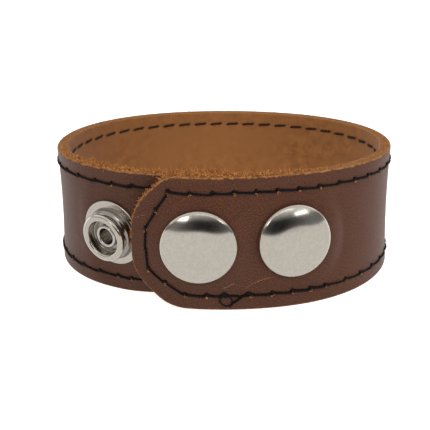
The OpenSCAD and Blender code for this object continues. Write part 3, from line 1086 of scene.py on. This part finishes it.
# %% [markdown]
# ## Thread, by Geometry Nodes
# The thread is black waxed linen of about 0.6 mm, three plies twisted, sewn as a saddle stitch: a line of
# stitches on both sides that meet in the holes. Each stitch is a short line of points that dips into its two
# holes. Geometry Nodes sweep a three-lobed profile along all of them, twisted as they go, so one small tree
# makes every stitch. Its named inputs are the thread's sizes. A curve with a round bevel would be simpler,
# but would show no plies.


# %% Lines that the stitches follow
THREAD_R = 0.28
THREAD_IN_R = 0.4       # inside, the thread lies flattened in the suede
NAP_HIDES = 0.24        # mm that the suede's nap stands over the inside stitches
SLANT = 0.12            # mm that each end lies to one side, as in a saddle stitch
OUTSIDE, INSIDE = 1, -1

# Share of the way from hole to hole, and height over the leather in mm
STITCH_SHARE = np.array([0, 0.07, 0.16, 0.32, 0.5, 0.68, 0.84, 0.93, 1])
STITCH_HEIGHT = np.array([-0.4, -0.04, 0.1, 0.14, 0.14, 0.14, 0.1, -0.04, -0.4])


def stitch_line(a, b, side):
    """Points of one stitch between two holes, on the outside or the inside."""
    a, b = np.array(a), np.array(b)
    height = STITCH_HEIGHT if side == OUTSIDE else STITCH_HEIGHT - NAP_HIDES
    at = a + (b - a) * STITCH_SHARE[:, None]
    return on_strap(at[:, 0], at[:, 1], side * (SKIN + height))


def lines_object(name, lines):
    """An object of loose edges, one chain for each line."""
    verts, edges = [], []
    for line in lines:
        first = len(verts)
        verts += [tuple(p * MM) for p in line]
        edges += [(first + k, first + k + 1) for k in range(len(line) - 1)]
    mesh = bpy.data.meshes.new(name)
    mesh.from_pydata(verts, edges, [])
    return new_piece(name, mesh)


def stitch_lines(side):
    """Stitches all round: inside, they sink into the suede and leave a gap at each hole."""
    lines = []
    gap = 0.05 if side == OUTSIDE else 0.7
    for a, b in zip(HOLES, np.roll(HOLES, -1, axis=0)):
        run = unit(b - a)
        slant = np.array([-run[1], run[0]]) * SLANT
        lines.append(stitch_line(a + run * gap + slant, b - run * gap - slant, side))
    return lines


first = stitch_lines(OUTSIDE)[0]
print("the first stitch outside is", round(math.dist(first[0], first[-1]), 2), "mm long")


# %% Waxed thread
def thread_finish(name, dark, light):
    """Strands of 0.12 mm, some of them lighter with wax or with nap."""
    material, tree, shader = new_finish(name, Roughness=0.6, Specular_IOR_Level=0.22)
    at = object_mm(tree)
    strands = add(tree, "ShaderNodeTexNoise", {"Vector": at, "Scale": 1 / 0.12, "Detail": 2}).outputs[0]
    waxed = add(tree, "ShaderNodeMapRange", {"Value": strands, "From Min": 0.45, "From Max": 0.7}).outputs[0]
    black = add(tree, "ShaderNodeMix", {
        0: waxed, 6: colour(dark), 7: colour(light)}, data_type="RGBA").outputs[2]
    bump = add(tree, "ShaderNodeBump", {"Strength": 0.5, "Distance": 0.06 * MM, "Height": strands})
    tree.links.new(black, shader.inputs["Base Color"])
    tree.links.new(bump.outputs[0], shader.inputs["Normal"])
    return material


thread = thread_finish("black_waxed_linen_thread", "#030304", "#121217")
thread_in_nap = thread_finish("waxed_thread_dusted_with_nap", "#1d120b", "#4a2f1c")
print("threads:", thread.name, "and", thread_in_nap.name)


# %% A new tree with named sizes
def new_tree(name, sizes):
    """A Geometry Nodes tree that takes a mesh and the named sizes, and gives a mesh."""
    tree = bpy.data.node_groups.new(name, "GeometryNodeTree")
    sockets = tree.interface
    sockets.new_socket("Geometry", in_out="INPUT", socket_type="NodeSocketGeometry")
    for size in sizes:
        sockets.new_socket(size, in_out="INPUT", socket_type="NodeSocketFloat")
    sockets.new_socket("Geometry", in_out="OUTPUT", socket_type="NodeSocketGeometry")
    return tree, add(tree, "NodeGroupInput").outputs


def finish_tree(tree, shape, material):
    """Ends a tree: its instances become real, and it sets the finish."""
    whole = add(tree, "GeometryNodeRealizeInstances", {0: shape}).outputs[0]
    dressed = add(tree, "GeometryNodeSetMaterial", {"Geometry": whole, "Material": material}).outputs[0]
    add(tree, "NodeGroupOutput", {0: dressed})
    print(tree.name, "has", len(tree.nodes), "nodes")
    return tree


# %% The thread tree
PLIES = 3
TWISTS = 450.0      # turns in a metre


def thread_tree(name, material):
    """Sweeps a profile with a lobe for each ply along every line, and turns it on the way."""
    tree, given = new_tree(name, ("Radius", "Lobe", "Twists per metre"))
    path = add(tree, "GeometryNodeMeshToCurve", {0: given["Geometry"]}).outputs[0]
    along = add(tree, "GeometryNodeSplineParameter").outputs["Length"]
    turns = add(tree, "ShaderNodeMath", {
        0: along, 1: given["Twists per metre"]}, operation="MULTIPLY").outputs[0]
    tilt = add(tree, "ShaderNodeMath", {0: turns, 1: 2 * math.pi}, operation="MULTIPLY").outputs[0]
    path = add(tree, "GeometryNodeSetCurveTilt", {"Curve": path, "Tilt": tilt}).outputs[0]
    ring = add(tree, "GeometryNodeCurvePrimitiveCircle", {"Resolution": 9}).outputs[0]
    ring_share = add(tree, "GeometryNodeSplineParameter").outputs["Factor"]
    angle = add(tree, "ShaderNodeMath", {
        0: ring_share, 1: PLIES * 2 * math.pi}, operation="MULTIPLY").outputs[0]
    wave = add(tree, "ShaderNodeMath", {0: angle}, operation="COSINE").outputs[0]
    swell = add(tree, "ShaderNodeMath", {
        0: wave, 1: given["Lobe"], 2: 1.0}, operation="MULTIPLY_ADD").outputs[0]
    radius = add(tree, "ShaderNodeMath", {0: swell, 1: given["Radius"]}, operation="MULTIPLY").outputs[0]
    spot = add(tree, "GeometryNodeInputPosition").outputs[0]
    spot = add(tree, "ShaderNodeVectorMath", {0: spot, "Scale": radius}, operation="SCALE").outputs[0]
    ring = add(tree, "GeometryNodeSetPosition", {"Geometry": ring, "Position": spot}).outputs[0]
    tube = add(tree, "GeometryNodeCurveToMesh", {0: path, 1: ring, "Fill Caps": True}).outputs[0]
    tube = add(tree, "GeometryNodeSetShadeSmooth", {"Geometry": tube}).outputs[0]
    return finish_tree(tree, tube, material)


sewing = thread_tree("twisted_thread", thread)
sewing_inside = thread_tree("twisted_thread_in_nap", thread_in_nap)


# %% Sew the stitches
def input_value(modifier, tree, name, value):
    """Sets a modifier's input, which Blender keeps under the socket's identifier."""
    for item in tree.interface.items_tree:
        if item.item_type == "SOCKET" and item.in_out == "INPUT" and item.name == name:
            modifier[item.identifier] = value


def made_mesh(piece, tree, **values):
    """Runs the tree on the piece and leaves a plain mesh."""
    modifier = piece.modifiers.new(tree.name, "NODES")
    modifier.node_group = tree
    for name, value in values.items():
        input_value(modifier, tree, name.replace("_", " "), value)
    graph = bpy.context.evaluated_depsgraph_get()
    mesh = bpy.data.meshes.new_from_object(piece.evaluated_get(graph))
    piece.modifiers.remove(modifier)
    piece.data = mesh
    print(piece.name, "faces:", len(mesh.polygons))
    return piece


ROWS = (
    ("stitches_outside", OUTSIDE, sewing, THREAD_R),
    ("stitches_inside", INSIDE, sewing_inside, THREAD_IN_R),
)
for name, side, tree, radius in ROWS:
    row = made_mesh(lines_object(name, stitch_lines(side)), tree,
                    Radius=radius * MM, Lobe=0.26, Twists_per_metre=TWISTS)
    pieces.append((row, (), "leather"))

# %% [markdown]
# ## The thread's end
# The seam ends at the lower edge: its last stitches are sewn twice, and the spare thread is knotted, leaves a
# small loop and runs back along the seam. A simulation would lay it somewhere else, so it is drawn as it lies
# in the photo, by places on the strap.

# %% Backstitch, loop and tail
# Places in mm along the strap and up its width
KNOT = (18.95, 3.55)
LOOP_END = ((18.9, 3.3), (18.25, 2.9), (17.95, 2.2), (18.35, 1.45), (19.1, 1.0), (19.9, 1.05),
            (20.45, 1.6), (20.5, 2.3), (20.1, 2.9), (19.3, 3.3))
TAILS = (((20.0, 0.75), (20.4, 1.25), (21.4, 2.0), (22.6, 2.9), (23.9, 3.75)),
         ((20.45, 1.6), (21.3, 2.3), (22.4, 3.2), (23.3, 3.6), (24.2, 3.3)))
BACKSTITCH = (((24.4, 3.35), (28.8, 3.05)), ((28.8, 3.45), (33.1, 3.0)), ((33.1, 3.45), (37.1, 3.0)),
              ((37.1, 3.5), (40.7, 3.05)))


def laid(path, height):
    """A fine path over the outer face, through the given places."""
    path = np.array(path)
    steps = np.linspace(0, len(path) - 1, 4 * len(path))
    at = np.stack([np.interp(steps, np.arange(len(path)), path[:, k]) for k in (0, 1)], axis=-1)
    return on_strap(at[:, 0], at[:, 1], SKIN + height)


# The spare thread is one ply, half as thick as the seam
spare = lines_object("thread_end", [laid(path, 0.12) for path in (LOOP_END, *TAILS)])
spare = made_mesh(spare, sewing, Radius=THREAD_R / 2 * MM, Lobe=0.1, Twists_per_metre=600.0)
again = lines_object("backstitches", [stitch_line(a, b, OUTSIDE) for a, b in BACKSTITCH])
again = made_mesh(again, sewing, Radius=THREAD_R * 1.1 * MM, Lobe=0.2, Twists_per_metre=TWISTS)
pieces += [(spare, (), "leather"), (again, (), "leather")]

# %% [markdown]
# ## Beads, burrs and loose fibres, by Geometry Nodes
# Three things are scattered. In each hole the two threads cross, which shows as a dark bead. Below about two
# thirds of the holes the awl tore the lip, and a few pale crumbs stand out. And the raw edge is fuzzy, most
# of all on top at the front. A particle system could do this, but Geometry Nodes give plain meshes with a
# fixed seed. One fibre is a curled cone of nine faces, about twice as coarse as a real one so that it shows.


# %% The bead tree
def points_object(name, points, normals):
    """Loose points, each with its direction out of the leather and the full share of fuzz."""
    mesh = bpy.data.meshes.new(name)
    mesh.from_pydata([tuple(p * MM) for p in points], [], [])
    mesh.attributes.new("out", "FLOAT_VECTOR", "POINT").data.foreach_set("vector", np.array(normals).ravel())
    mesh.attributes.new("fuzz", "FLOAT", "POINT").data.foreach_set("value", [1.0] * len(points))
    return new_piece(name, mesh)


def bead_tree(material):
    """A flattened, lumpy ball of varied size on every point."""
    tree, given = new_tree("thread_beads", ("Bead",))
    ball = add(tree, "GeometryNodeMeshUVSphere", {"Segments": 8, "Rings": 5, "Radius": 1.0}).outputs[0]
    ball = add(tree, "GeometryNodeSetShadeSmooth", {"Geometry": ball}).outputs[0]
    out = add(tree, "GeometryNodeInputNamedAttribute", {"Name": "out"}, data_type="FLOAT_VECTOR").outputs[0]
    turn = add(tree, "FunctionNodeAlignRotationToVector", {"Vector": out}, axis="Z").outputs[0]
    vary = add(tree, "FunctionNodeRandomValue", {
        0: (0.75, 0.6, 0.55), 1: (1.35, 1.0, 0.75), "Seed": 4}, data_type="FLOAT_VECTOR").outputs[0]
    size = add(tree, "ShaderNodeVectorMath", {0: vary, "Scale": given["Bead"]}, operation="SCALE").outputs[0]
    beads = add(tree, "GeometryNodeInstanceOnPoints", {
        "Points": given["Geometry"], "Instance": ball, "Rotation": turn, "Scale": size}).outputs[0]
    beads = add(tree, "GeometryNodeRealizeInstances", {0: beads}).outputs[0]
    at = add(tree, "GeometryNodeInputPosition").outputs[0]
    lumps = add(tree, "ShaderNodeTexNoise", {"Vector": at, "Scale": 1 / (0.5 * MM)}).outputs[1]
    lumps = add(tree, "ShaderNodeVectorMath", {0: lumps, 1: (0.5, 0.5, 0.5)}, operation="SUBTRACT").outputs[0]
    lumps = add(tree, "ShaderNodeVectorMath", {
        0: lumps, "Scale": given["Bead"]}, operation="SCALE").outputs[0]
    beads = add(tree, "GeometryNodeSetPosition", {"Geometry": beads, "Offset": lumps}).outputs[0]
    return finish_tree(tree, beads, material)


# A bead sits at the top of each hole, and six more make up the knot and its end
knots_at = np.array([KNOT, (18.55, 3.35), (19.4, 3.4), (18.8, 3.8), (19.2, 3.1), (23.7, 3.75)])
bead_at = np.concatenate([HOLES + (0, 0.33), knots_at])
bead_places = on_strap(bead_at[:, 0], bead_at[:, 1], SKIN + 0.02)
beads = points_object("thread_beads", bead_places, outwards(bead_at[:, 0]))
beads = made_mesh(beads, bead_tree(thread), Bead=0.45 * MM)
pieces.append((beads, (), "leather"))


# %% Loose leather fibre
def fibre_finish():
    """Fibres that the dye has not reached, brown and straw in spots of about 0.3 mm."""
    material, tree, shader = new_finish("loose_leather_fibre", Roughness=0.85, Specular_IOR_Level=0.3)
    at = object_mm(tree)
    tips = add(tree, "ShaderNodeTexNoise", {
        "Vector": at, "Scale": 1 / 0.3, "Detail": 3, "Roughness": 0.7}).outputs[0]
    tips = add(tree, "ShaderNodeMapRange", {"Value": tips, "From Min": 0.38, "From Max": 0.62}).outputs[0]
    tan = add(tree, "ShaderNodeMix", {
        0: tips, 6: colour("#743816"), 7: colour("#cf9350")}, data_type="RGBA").outputs[2]
    tree.links.new(tan, shader.inputs["Base Color"])
    return material


fibre = fibre_finish()
print("fibres are", fibre.name)


# %% One fibre, and its turn and size on each point
FIBRE_SIZES = ("Radius", "Length", "Bow", "Stray", "Amount", "Spread")


def curled_cone(tree, given):
    """A cone along Z that bows over by the square of its height and curls to one side."""
    cone = add(tree, "GeometryNodeMeshCone", {
        "Vertices": 3, "Side Segments": 3, "Radius Top": 0.4, "Radius Bottom": 1.0, "Depth": 1.0},
        fill_type="NONE").outputs["Mesh"]
    at = add(tree, "GeometryNodeInputPosition").outputs[0]
    high = add(tree, "ShaderNodeSeparateXYZ", {0: at}).outputs["Z"]
    bow = add(tree, "ShaderNodeMath", {0: high, 1: high}, operation="MULTIPLY").outputs[0]
    bow = add(tree, "ShaderNodeMath", {0: bow, 1: given["Bow"]}, operation="MULTIPLY").outputs[0]
    curl = add(tree, "ShaderNodeMath", {0: high, 1: 5.0}, operation="MULTIPLY").outputs[0]
    curl = add(tree, "ShaderNodeMath", {0: curl}, operation="SINE").outputs[0]
    bow = add(tree, "ShaderNodeCombineXYZ", {"X": bow, "Y": curl}).outputs[0]
    return add(tree, "GeometryNodeSetPosition", {"Geometry": cone, "Offset": bow}).outputs[0]


def fibre_turn(tree, given, out):
    """Outwards, but each fibre strays, and is spun about itself."""
    stray = add(tree, "FunctionNodeRandomValue", {
        0: (-1, -1, -1), 1: (1, 1, 1), "Seed": 7}, data_type="FLOAT_VECTOR").outputs[0]
    stray = add(tree, "ShaderNodeVectorMath", {
        0: stray, "Scale": given["Stray"]}, operation="SCALE").outputs[0]
    aim = add(tree, "ShaderNodeVectorMath", {0: out, 1: stray}, operation="ADD").outputs[0]
    spin = add(tree, "FunctionNodeRandomValue", {2: 0.0, 3: 6.28, "Seed": 9}).outputs[1]
    spin = add(tree, "ShaderNodeCombineXYZ", {"Z": spin}).outputs[0]
    spin = add(tree, "FunctionNodeEulerToRotation", {0: spin}).outputs[0]
    return add(tree, "FunctionNodeAlignRotationToVector", {
        "Rotation": spin, "Vector": aim}, axis="Z").outputs[0]


def fibre_size(tree, given):
    """Thickness and a random length, both smaller where there is little fuzz."""
    length = add(tree, "FunctionNodeRandomValue", {2: 0.35, 3: 1.0, "Seed": 3}).outputs[1]
    length = add(tree, "ShaderNodeMath", {0: length, 1: given["Length"]}, operation="MULTIPLY").outputs[0]
    size = add(tree, "ShaderNodeCombineXYZ", {
        "X": given["Radius"], "Y": given["Radius"], "Z": length}).outputs[0]
    share = add(tree, "GeometryNodeInputNamedAttribute", {"Name": "fuzz"}, data_type="FLOAT").outputs[0]
    tall = add(tree, "ShaderNodeMapRange", {"Value": share, "To Min": 0.3}).outputs[0]
    return add(tree, "ShaderNodeVectorMath", {0: size, "Scale": tall}, operation="SCALE").outputs[0]


print("sizes that a fibre tree takes:", FIBRE_SIZES)


# %% The fibre tree
def fibre_tree(name, add_points):
    """A fibre on every point. What is handed in adds the points and gives them back with their direction."""
    tree, given = new_tree(name, FIBRE_SIZES)
    points, out = add_points(tree, given)
    hairs = add(tree, "GeometryNodeInstanceOnPoints", {
        "Points": points,
        "Instance": curled_cone(tree, given),
        "Rotation": fibre_turn(tree, given, out),
        "Scale": fibre_size(tree, given),
    }).outputs[0]
    return finish_tree(tree, hairs, fibre)


def burr_points(tree, given):
    """Several points round each one that is handed in."""
    many = add(tree, "GeometryNodeDuplicateElements", {
        "Geometry": given["Geometry"], "Amount": given["Amount"]}, domain="POINT").outputs[0]
    shift = add(tree, "FunctionNodeRandomValue", {
        0: (-1, -1, -1), 1: (1, 1, 1), "Seed": 5}, data_type="FLOAT_VECTOR").outputs[0]
    shift = add(tree, "ShaderNodeVectorMath", {
        0: shift, "Scale": given["Spread"]}, operation="SCALE").outputs[0]
    moved = add(tree, "GeometryNodeSetPosition", {"Geometry": many, "Offset": shift}).outputs[0]
    out = add(tree, "GeometryNodeInputNamedAttribute", {"Name": "out"}, data_type="FLOAT_VECTOR").outputs[0]
    return moved, out


burr_fibres = fibre_tree("burr_fibres", burr_points)


# %% Burrs below the holes
TORN = 0.65         # share of the holes with a torn lip
BURR_DOWN = 0.5     # how far the crumbs hang down, for one outwards

is_torn = np.random.default_rng(3).random(len(HOLES)) < TORN
burr_at = HOLES[is_torn] + (0.1, -0.32)
burr_places = on_strap(burr_at[:, 0], burr_at[:, 1], SKIN - 0.02)
burrs = points_object("burrs", burr_places, outwards(burr_at[:, 0]) - (0, 0, BURR_DOWN))
burrs = made_mesh(burrs, burr_fibres, Radius=0.09 * MM, Length=0.19 * MM, Bow=0.8,
                  Stray=0.9, Amount=11, Spread=0.3 * MM)
pieces.append((burrs, (), "leather"))


# %% Fibres of the cut edge
def edge_points(tree, given):
    """Points on the cut edge, in tufts: where the noise is high there are more fibres, and longer ones."""
    kind = add(tree, "GeometryNodeInputMaterialIndex").outputs[0]
    cut = add(tree, "FunctionNodeCompare", {2: kind, 3: CUT}, data_type="INT", operation="EQUAL").outputs[0]
    share = add(tree, "GeometryNodeInputNamedAttribute", {"Name": "fuzz"}, data_type="FLOAT").outputs[0]
    at = add(tree, "GeometryNodeInputPosition").outputs[0]
    tufts = add(tree, "ShaderNodeTexNoise", {"Vector": at, "Scale": 1 / (0.9 * MM), "Detail": 1}).outputs[0]
    tufts = add(tree, "ShaderNodeMapRange", {
        "Value": tufts, "From Min": 0.4, "From Max": 0.62, "To Min": 0.25, "To Max": 1.3}).outputs[0]
    tufted = add(tree, "ShaderNodeMath", {0: share, 1: tufts}, operation="MULTIPLY").outputs[0]
    density = add(tree, "ShaderNodeMath", {0: tufted, 1: given["Amount"]}, operation="MULTIPLY").outputs[0]
    scattered = add(tree, "GeometryNodeDistributePointsOnFaces", {
        "Mesh": given["Geometry"], "Selection": cut, "Density": density, "Seed": 2})
    points = scattered.outputs["Points"]
    points = add(tree, "GeometryNodeStoreNamedAttribute", {
        "Geometry": points, "Name": "fuzz", "Value": tufted}, data_type="FLOAT").outputs[0]
    return points, scattered.outputs["Normal"]


EDGE_FIBRES_MM2 = 22        # fibres on a square millimetre, where there is the most fuzz

edge_fibres = new_piece("edge_fibres", strap.data.copy())
edge_fibres = made_mesh(edge_fibres, fibre_tree("edge_fibres", edge_points), Radius=0.12 * MM,
                        Length=1.1 * MM, Bow=5.5, Stray=1.7, Amount=EDGE_FIBRES_MM2 / MM ** 2)
pieces.append((edge_fibres, (), "leather"))

# %% [markdown]
# ## Floor and light
# The photo stands on plain white without a shadow: a table of white acrylic, lit from below too. Wide soft
# lamps light the rest. The metal shows what is around it: the bright table, the dark of the unlit room, which
# is deepest straight ahead and thins out to the sides, and the lamps higher up. Walls could be modelled, but
# a world lit by direction draws such a room without them.


# %% Floor
FLOOR_HALF = 2.0        # m
FLOOR_GLOW = 0.85


def pale_floor():
    """A glowing table top. The metal doesn't show it, because the world's lower half stands for it there."""
    mesh = bpy.data.meshes.new("floor")
    corners = [(x * FLOOR_HALF, y * FLOOR_HALF, 0) for x, y in ((-1, -1), (1, -1), (1, 1), (-1, 1))]
    mesh.from_pydata(corners, [], [(0, 1, 2, 3)])
    floor = new_piece("floor", mesh)
    material, tree, shader = new_finish("lit_white_acrylic", Roughness=0.9)
    shader.inputs["Base Color"].default_value = colour("#c4c3c0")
    shader.inputs["Emission Color"].default_value = (1, 1, 1, 1)
    shader.inputs["Emission Strength"].default_value = FLOOR_GLOW
    mesh.materials.append(material)
    floor.visible_glossy = False
    return floor


floor = pale_floor()
print(floor.name, "is", 2 * FLOOR_HALF, "m wide, of", floor.data.materials[0].name)


# %% Light by direction
# Degrees above the horizon, and how bright the studio is there
STUDIO = (
    (-90, 0.74),
    (0.5, 0.74),
    (3.5, 0.015),
    (24, 0.015),
    (29, 0.14),
    (36, 0.4),
    (45, 0.75),
    (90, 0.65),
)
BRIGHTEST = 2.5                         # a ramp's colours end at 1, so they are shares of this
DARK_RISE = math.sin(math.radians(14))  # height of the dark's middle
DARK_SIDE = 0.1                         # how far to the right the dark is deepest
DARK_WIDE = 0.65
DARK_GREY = (0.01, 0.17)                # how bright the dark is in its middle, and far to its sides
BACK_LIGHT = 0.22                       # more light from behind the bracelet, as a share of the brightest


def dark_room(tree, towards):
    """The studio by height. The dark's limits draw together, and it turns greyer, away from its middle."""
    side = add(tree, "ShaderNodeMath", {0: towards["X"], 1: DARK_SIDE}, operation="SUBTRACT").outputs[0]
    side = add(tree, "ShaderNodeMath", {0: side, 1: DARK_WIDE}, operation="DIVIDE").outputs[0]
    side = add(tree, "ShaderNodeMath", {0: side, 1: 2.0}, operation="POWER").outputs[0]
    thin = add(tree, "ShaderNodeMath", {0: side, 1: 0.5, 2: 1.0}, operation="MULTIPLY_ADD").outputs[0]
    above = add(tree, "ShaderNodeMath", {0: towards["Z"], 1: DARK_RISE}, operation="SUBTRACT").outputs[0]
    height = add(tree, "ShaderNodeMath", {
        0: above, 1: thin, 2: DARK_RISE}, operation="MULTIPLY_ADD").outputs[0]
    share = add(tree, "ShaderNodeMapRange", {"Value": height, "From Min": -1.0}).outputs[0]
    ramp = add(tree, "ShaderNodeValToRGB", {0: share})
    stops = ramp.color_ramp.elements
    stops[1].position = 1
    while len(stops) < len(STUDIO):
        stops.new(0.5)
    for stop, (rise, bright) in zip(stops, STUDIO):
        stop.position = (math.sin(math.radians(rise)) + 1) / 2
        stop.color = (*[bright / BRIGHTEST] * 3, 1)
    grey = add(tree, "ShaderNodeMapRange", {
        "Value": side,
        "From Max": 1.2,
        "To Min": DARK_GREY[0] / BRIGHTEST,
        "To Max": DARK_GREY[1] / BRIGHTEST,
    }).outputs[0]
    return add(tree, "ShaderNodeMath", {0: ramp.outputs[0], 1: grey}, operation="MAXIMUM").outputs[0]


def studio_light():
    """The dark room, a little light from behind, and plain white where the background itself is seen."""
    world = bpy.data.worlds.new("studio")
    bpy.context.scene.world = world
    world.use_nodes = True
    tree = world.node_tree
    sky = tree.nodes["Background"]
    ray = add(tree, "ShaderNodeTexCoord").outputs["Object"]
    towards = add(tree, "ShaderNodeSeparateXYZ", {0: ray}).outputs
    room = dark_room(tree, towards)
    behind = add(tree, "ShaderNodeMapRange", {
        "Value": towards["Y"], "From Max": 0.5, "To Max": BACK_LIGHT}).outputs[0]
    seen = add(tree, "ShaderNodeLightPath").outputs["Is Camera Ray"]
    total = add(tree, "ShaderNodeMath", {0: room, 1: behind}, operation="ADD").outputs[0]
    total = add(tree, "ShaderNodeMath", {0: total, 1: seen}, operation="ADD").outputs[0]
    total = add(tree, "ShaderNodeMath", {0: total, 1: BRIGHTEST}, operation="MULTIPLY").outputs[0]
    tree.links.new(total, sky.inputs["Strength"])
    sky.inputs["Color"].default_value = (1, 1, 1, 1)
    return world


studio = studio_light()
print(studio.name, "has", len(studio.node_tree.nodes), "nodes")


# %% Lamps
LAMP_AWAY = 0.7     # m
# Name, degrees to the right and up, width and height in m, watts, and whether the metal shows it
LAMPS = (
    ("softbox_left", -35, 35, 0.4, 0.4, 0.8, False),
    ("softbox_right", 65, 30, 0.4, 0.4, 2.0, False),
    ("softbox_above", 20, 75, 0.6, 0.6, 1.3, False),
    ("window_left", -30, 30, 0.2, 0.11, 0.18, True),
    ("window_middle", 12, 44, 0.4, 0.05, 0.06, True),
    ("window_right", 45, 31, 0.25, 0.07, 0.14, True),
)


def soft_lamp(name, turn_deg, rise_deg, wide, high, watts, in_metal):
    """A flat lamp that faces the bracelet."""
    data = bpy.data.lights.new(name, "AREA")
    data.shape = "RECTANGLE"
    data.size = wide
    data.size_y = high
    data.energy = watts
    lamp = new_piece(name, data)
    turn, rise = math.radians(turn_deg), math.radians(rise_deg)
    level = LAMP_AWAY * math.cos(rise)
    lamp.location = (level * math.sin(turn), -level * math.cos(turn), LAMP_AWAY * math.sin(rise))
    lamp.rotation_euler = (math.pi / 2 - rise, 0, turn)
    lamp.visible_glossy = in_metal
    return lamp


lamps = [soft_lamp(*row) for row in LAMPS]
# Standard keeps the colours as they were read from the photo
bpy.context.scene.view_settings.view_transform = "Standard"
print("lamps:", [lamp.name for lamp in lamps])

# %% [markdown]
# ## The pieces on the rigid body
# Every piece rides on the one rigid body. The strap and the snap parts each stand for the plain solid that
# they dress. The thread and fibres stand for none.

# %% Ride and replace
for piece, stands_for, finish_slot in pieces:
    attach(piece, "root")
    if stands_for:
        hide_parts(*stands_for)
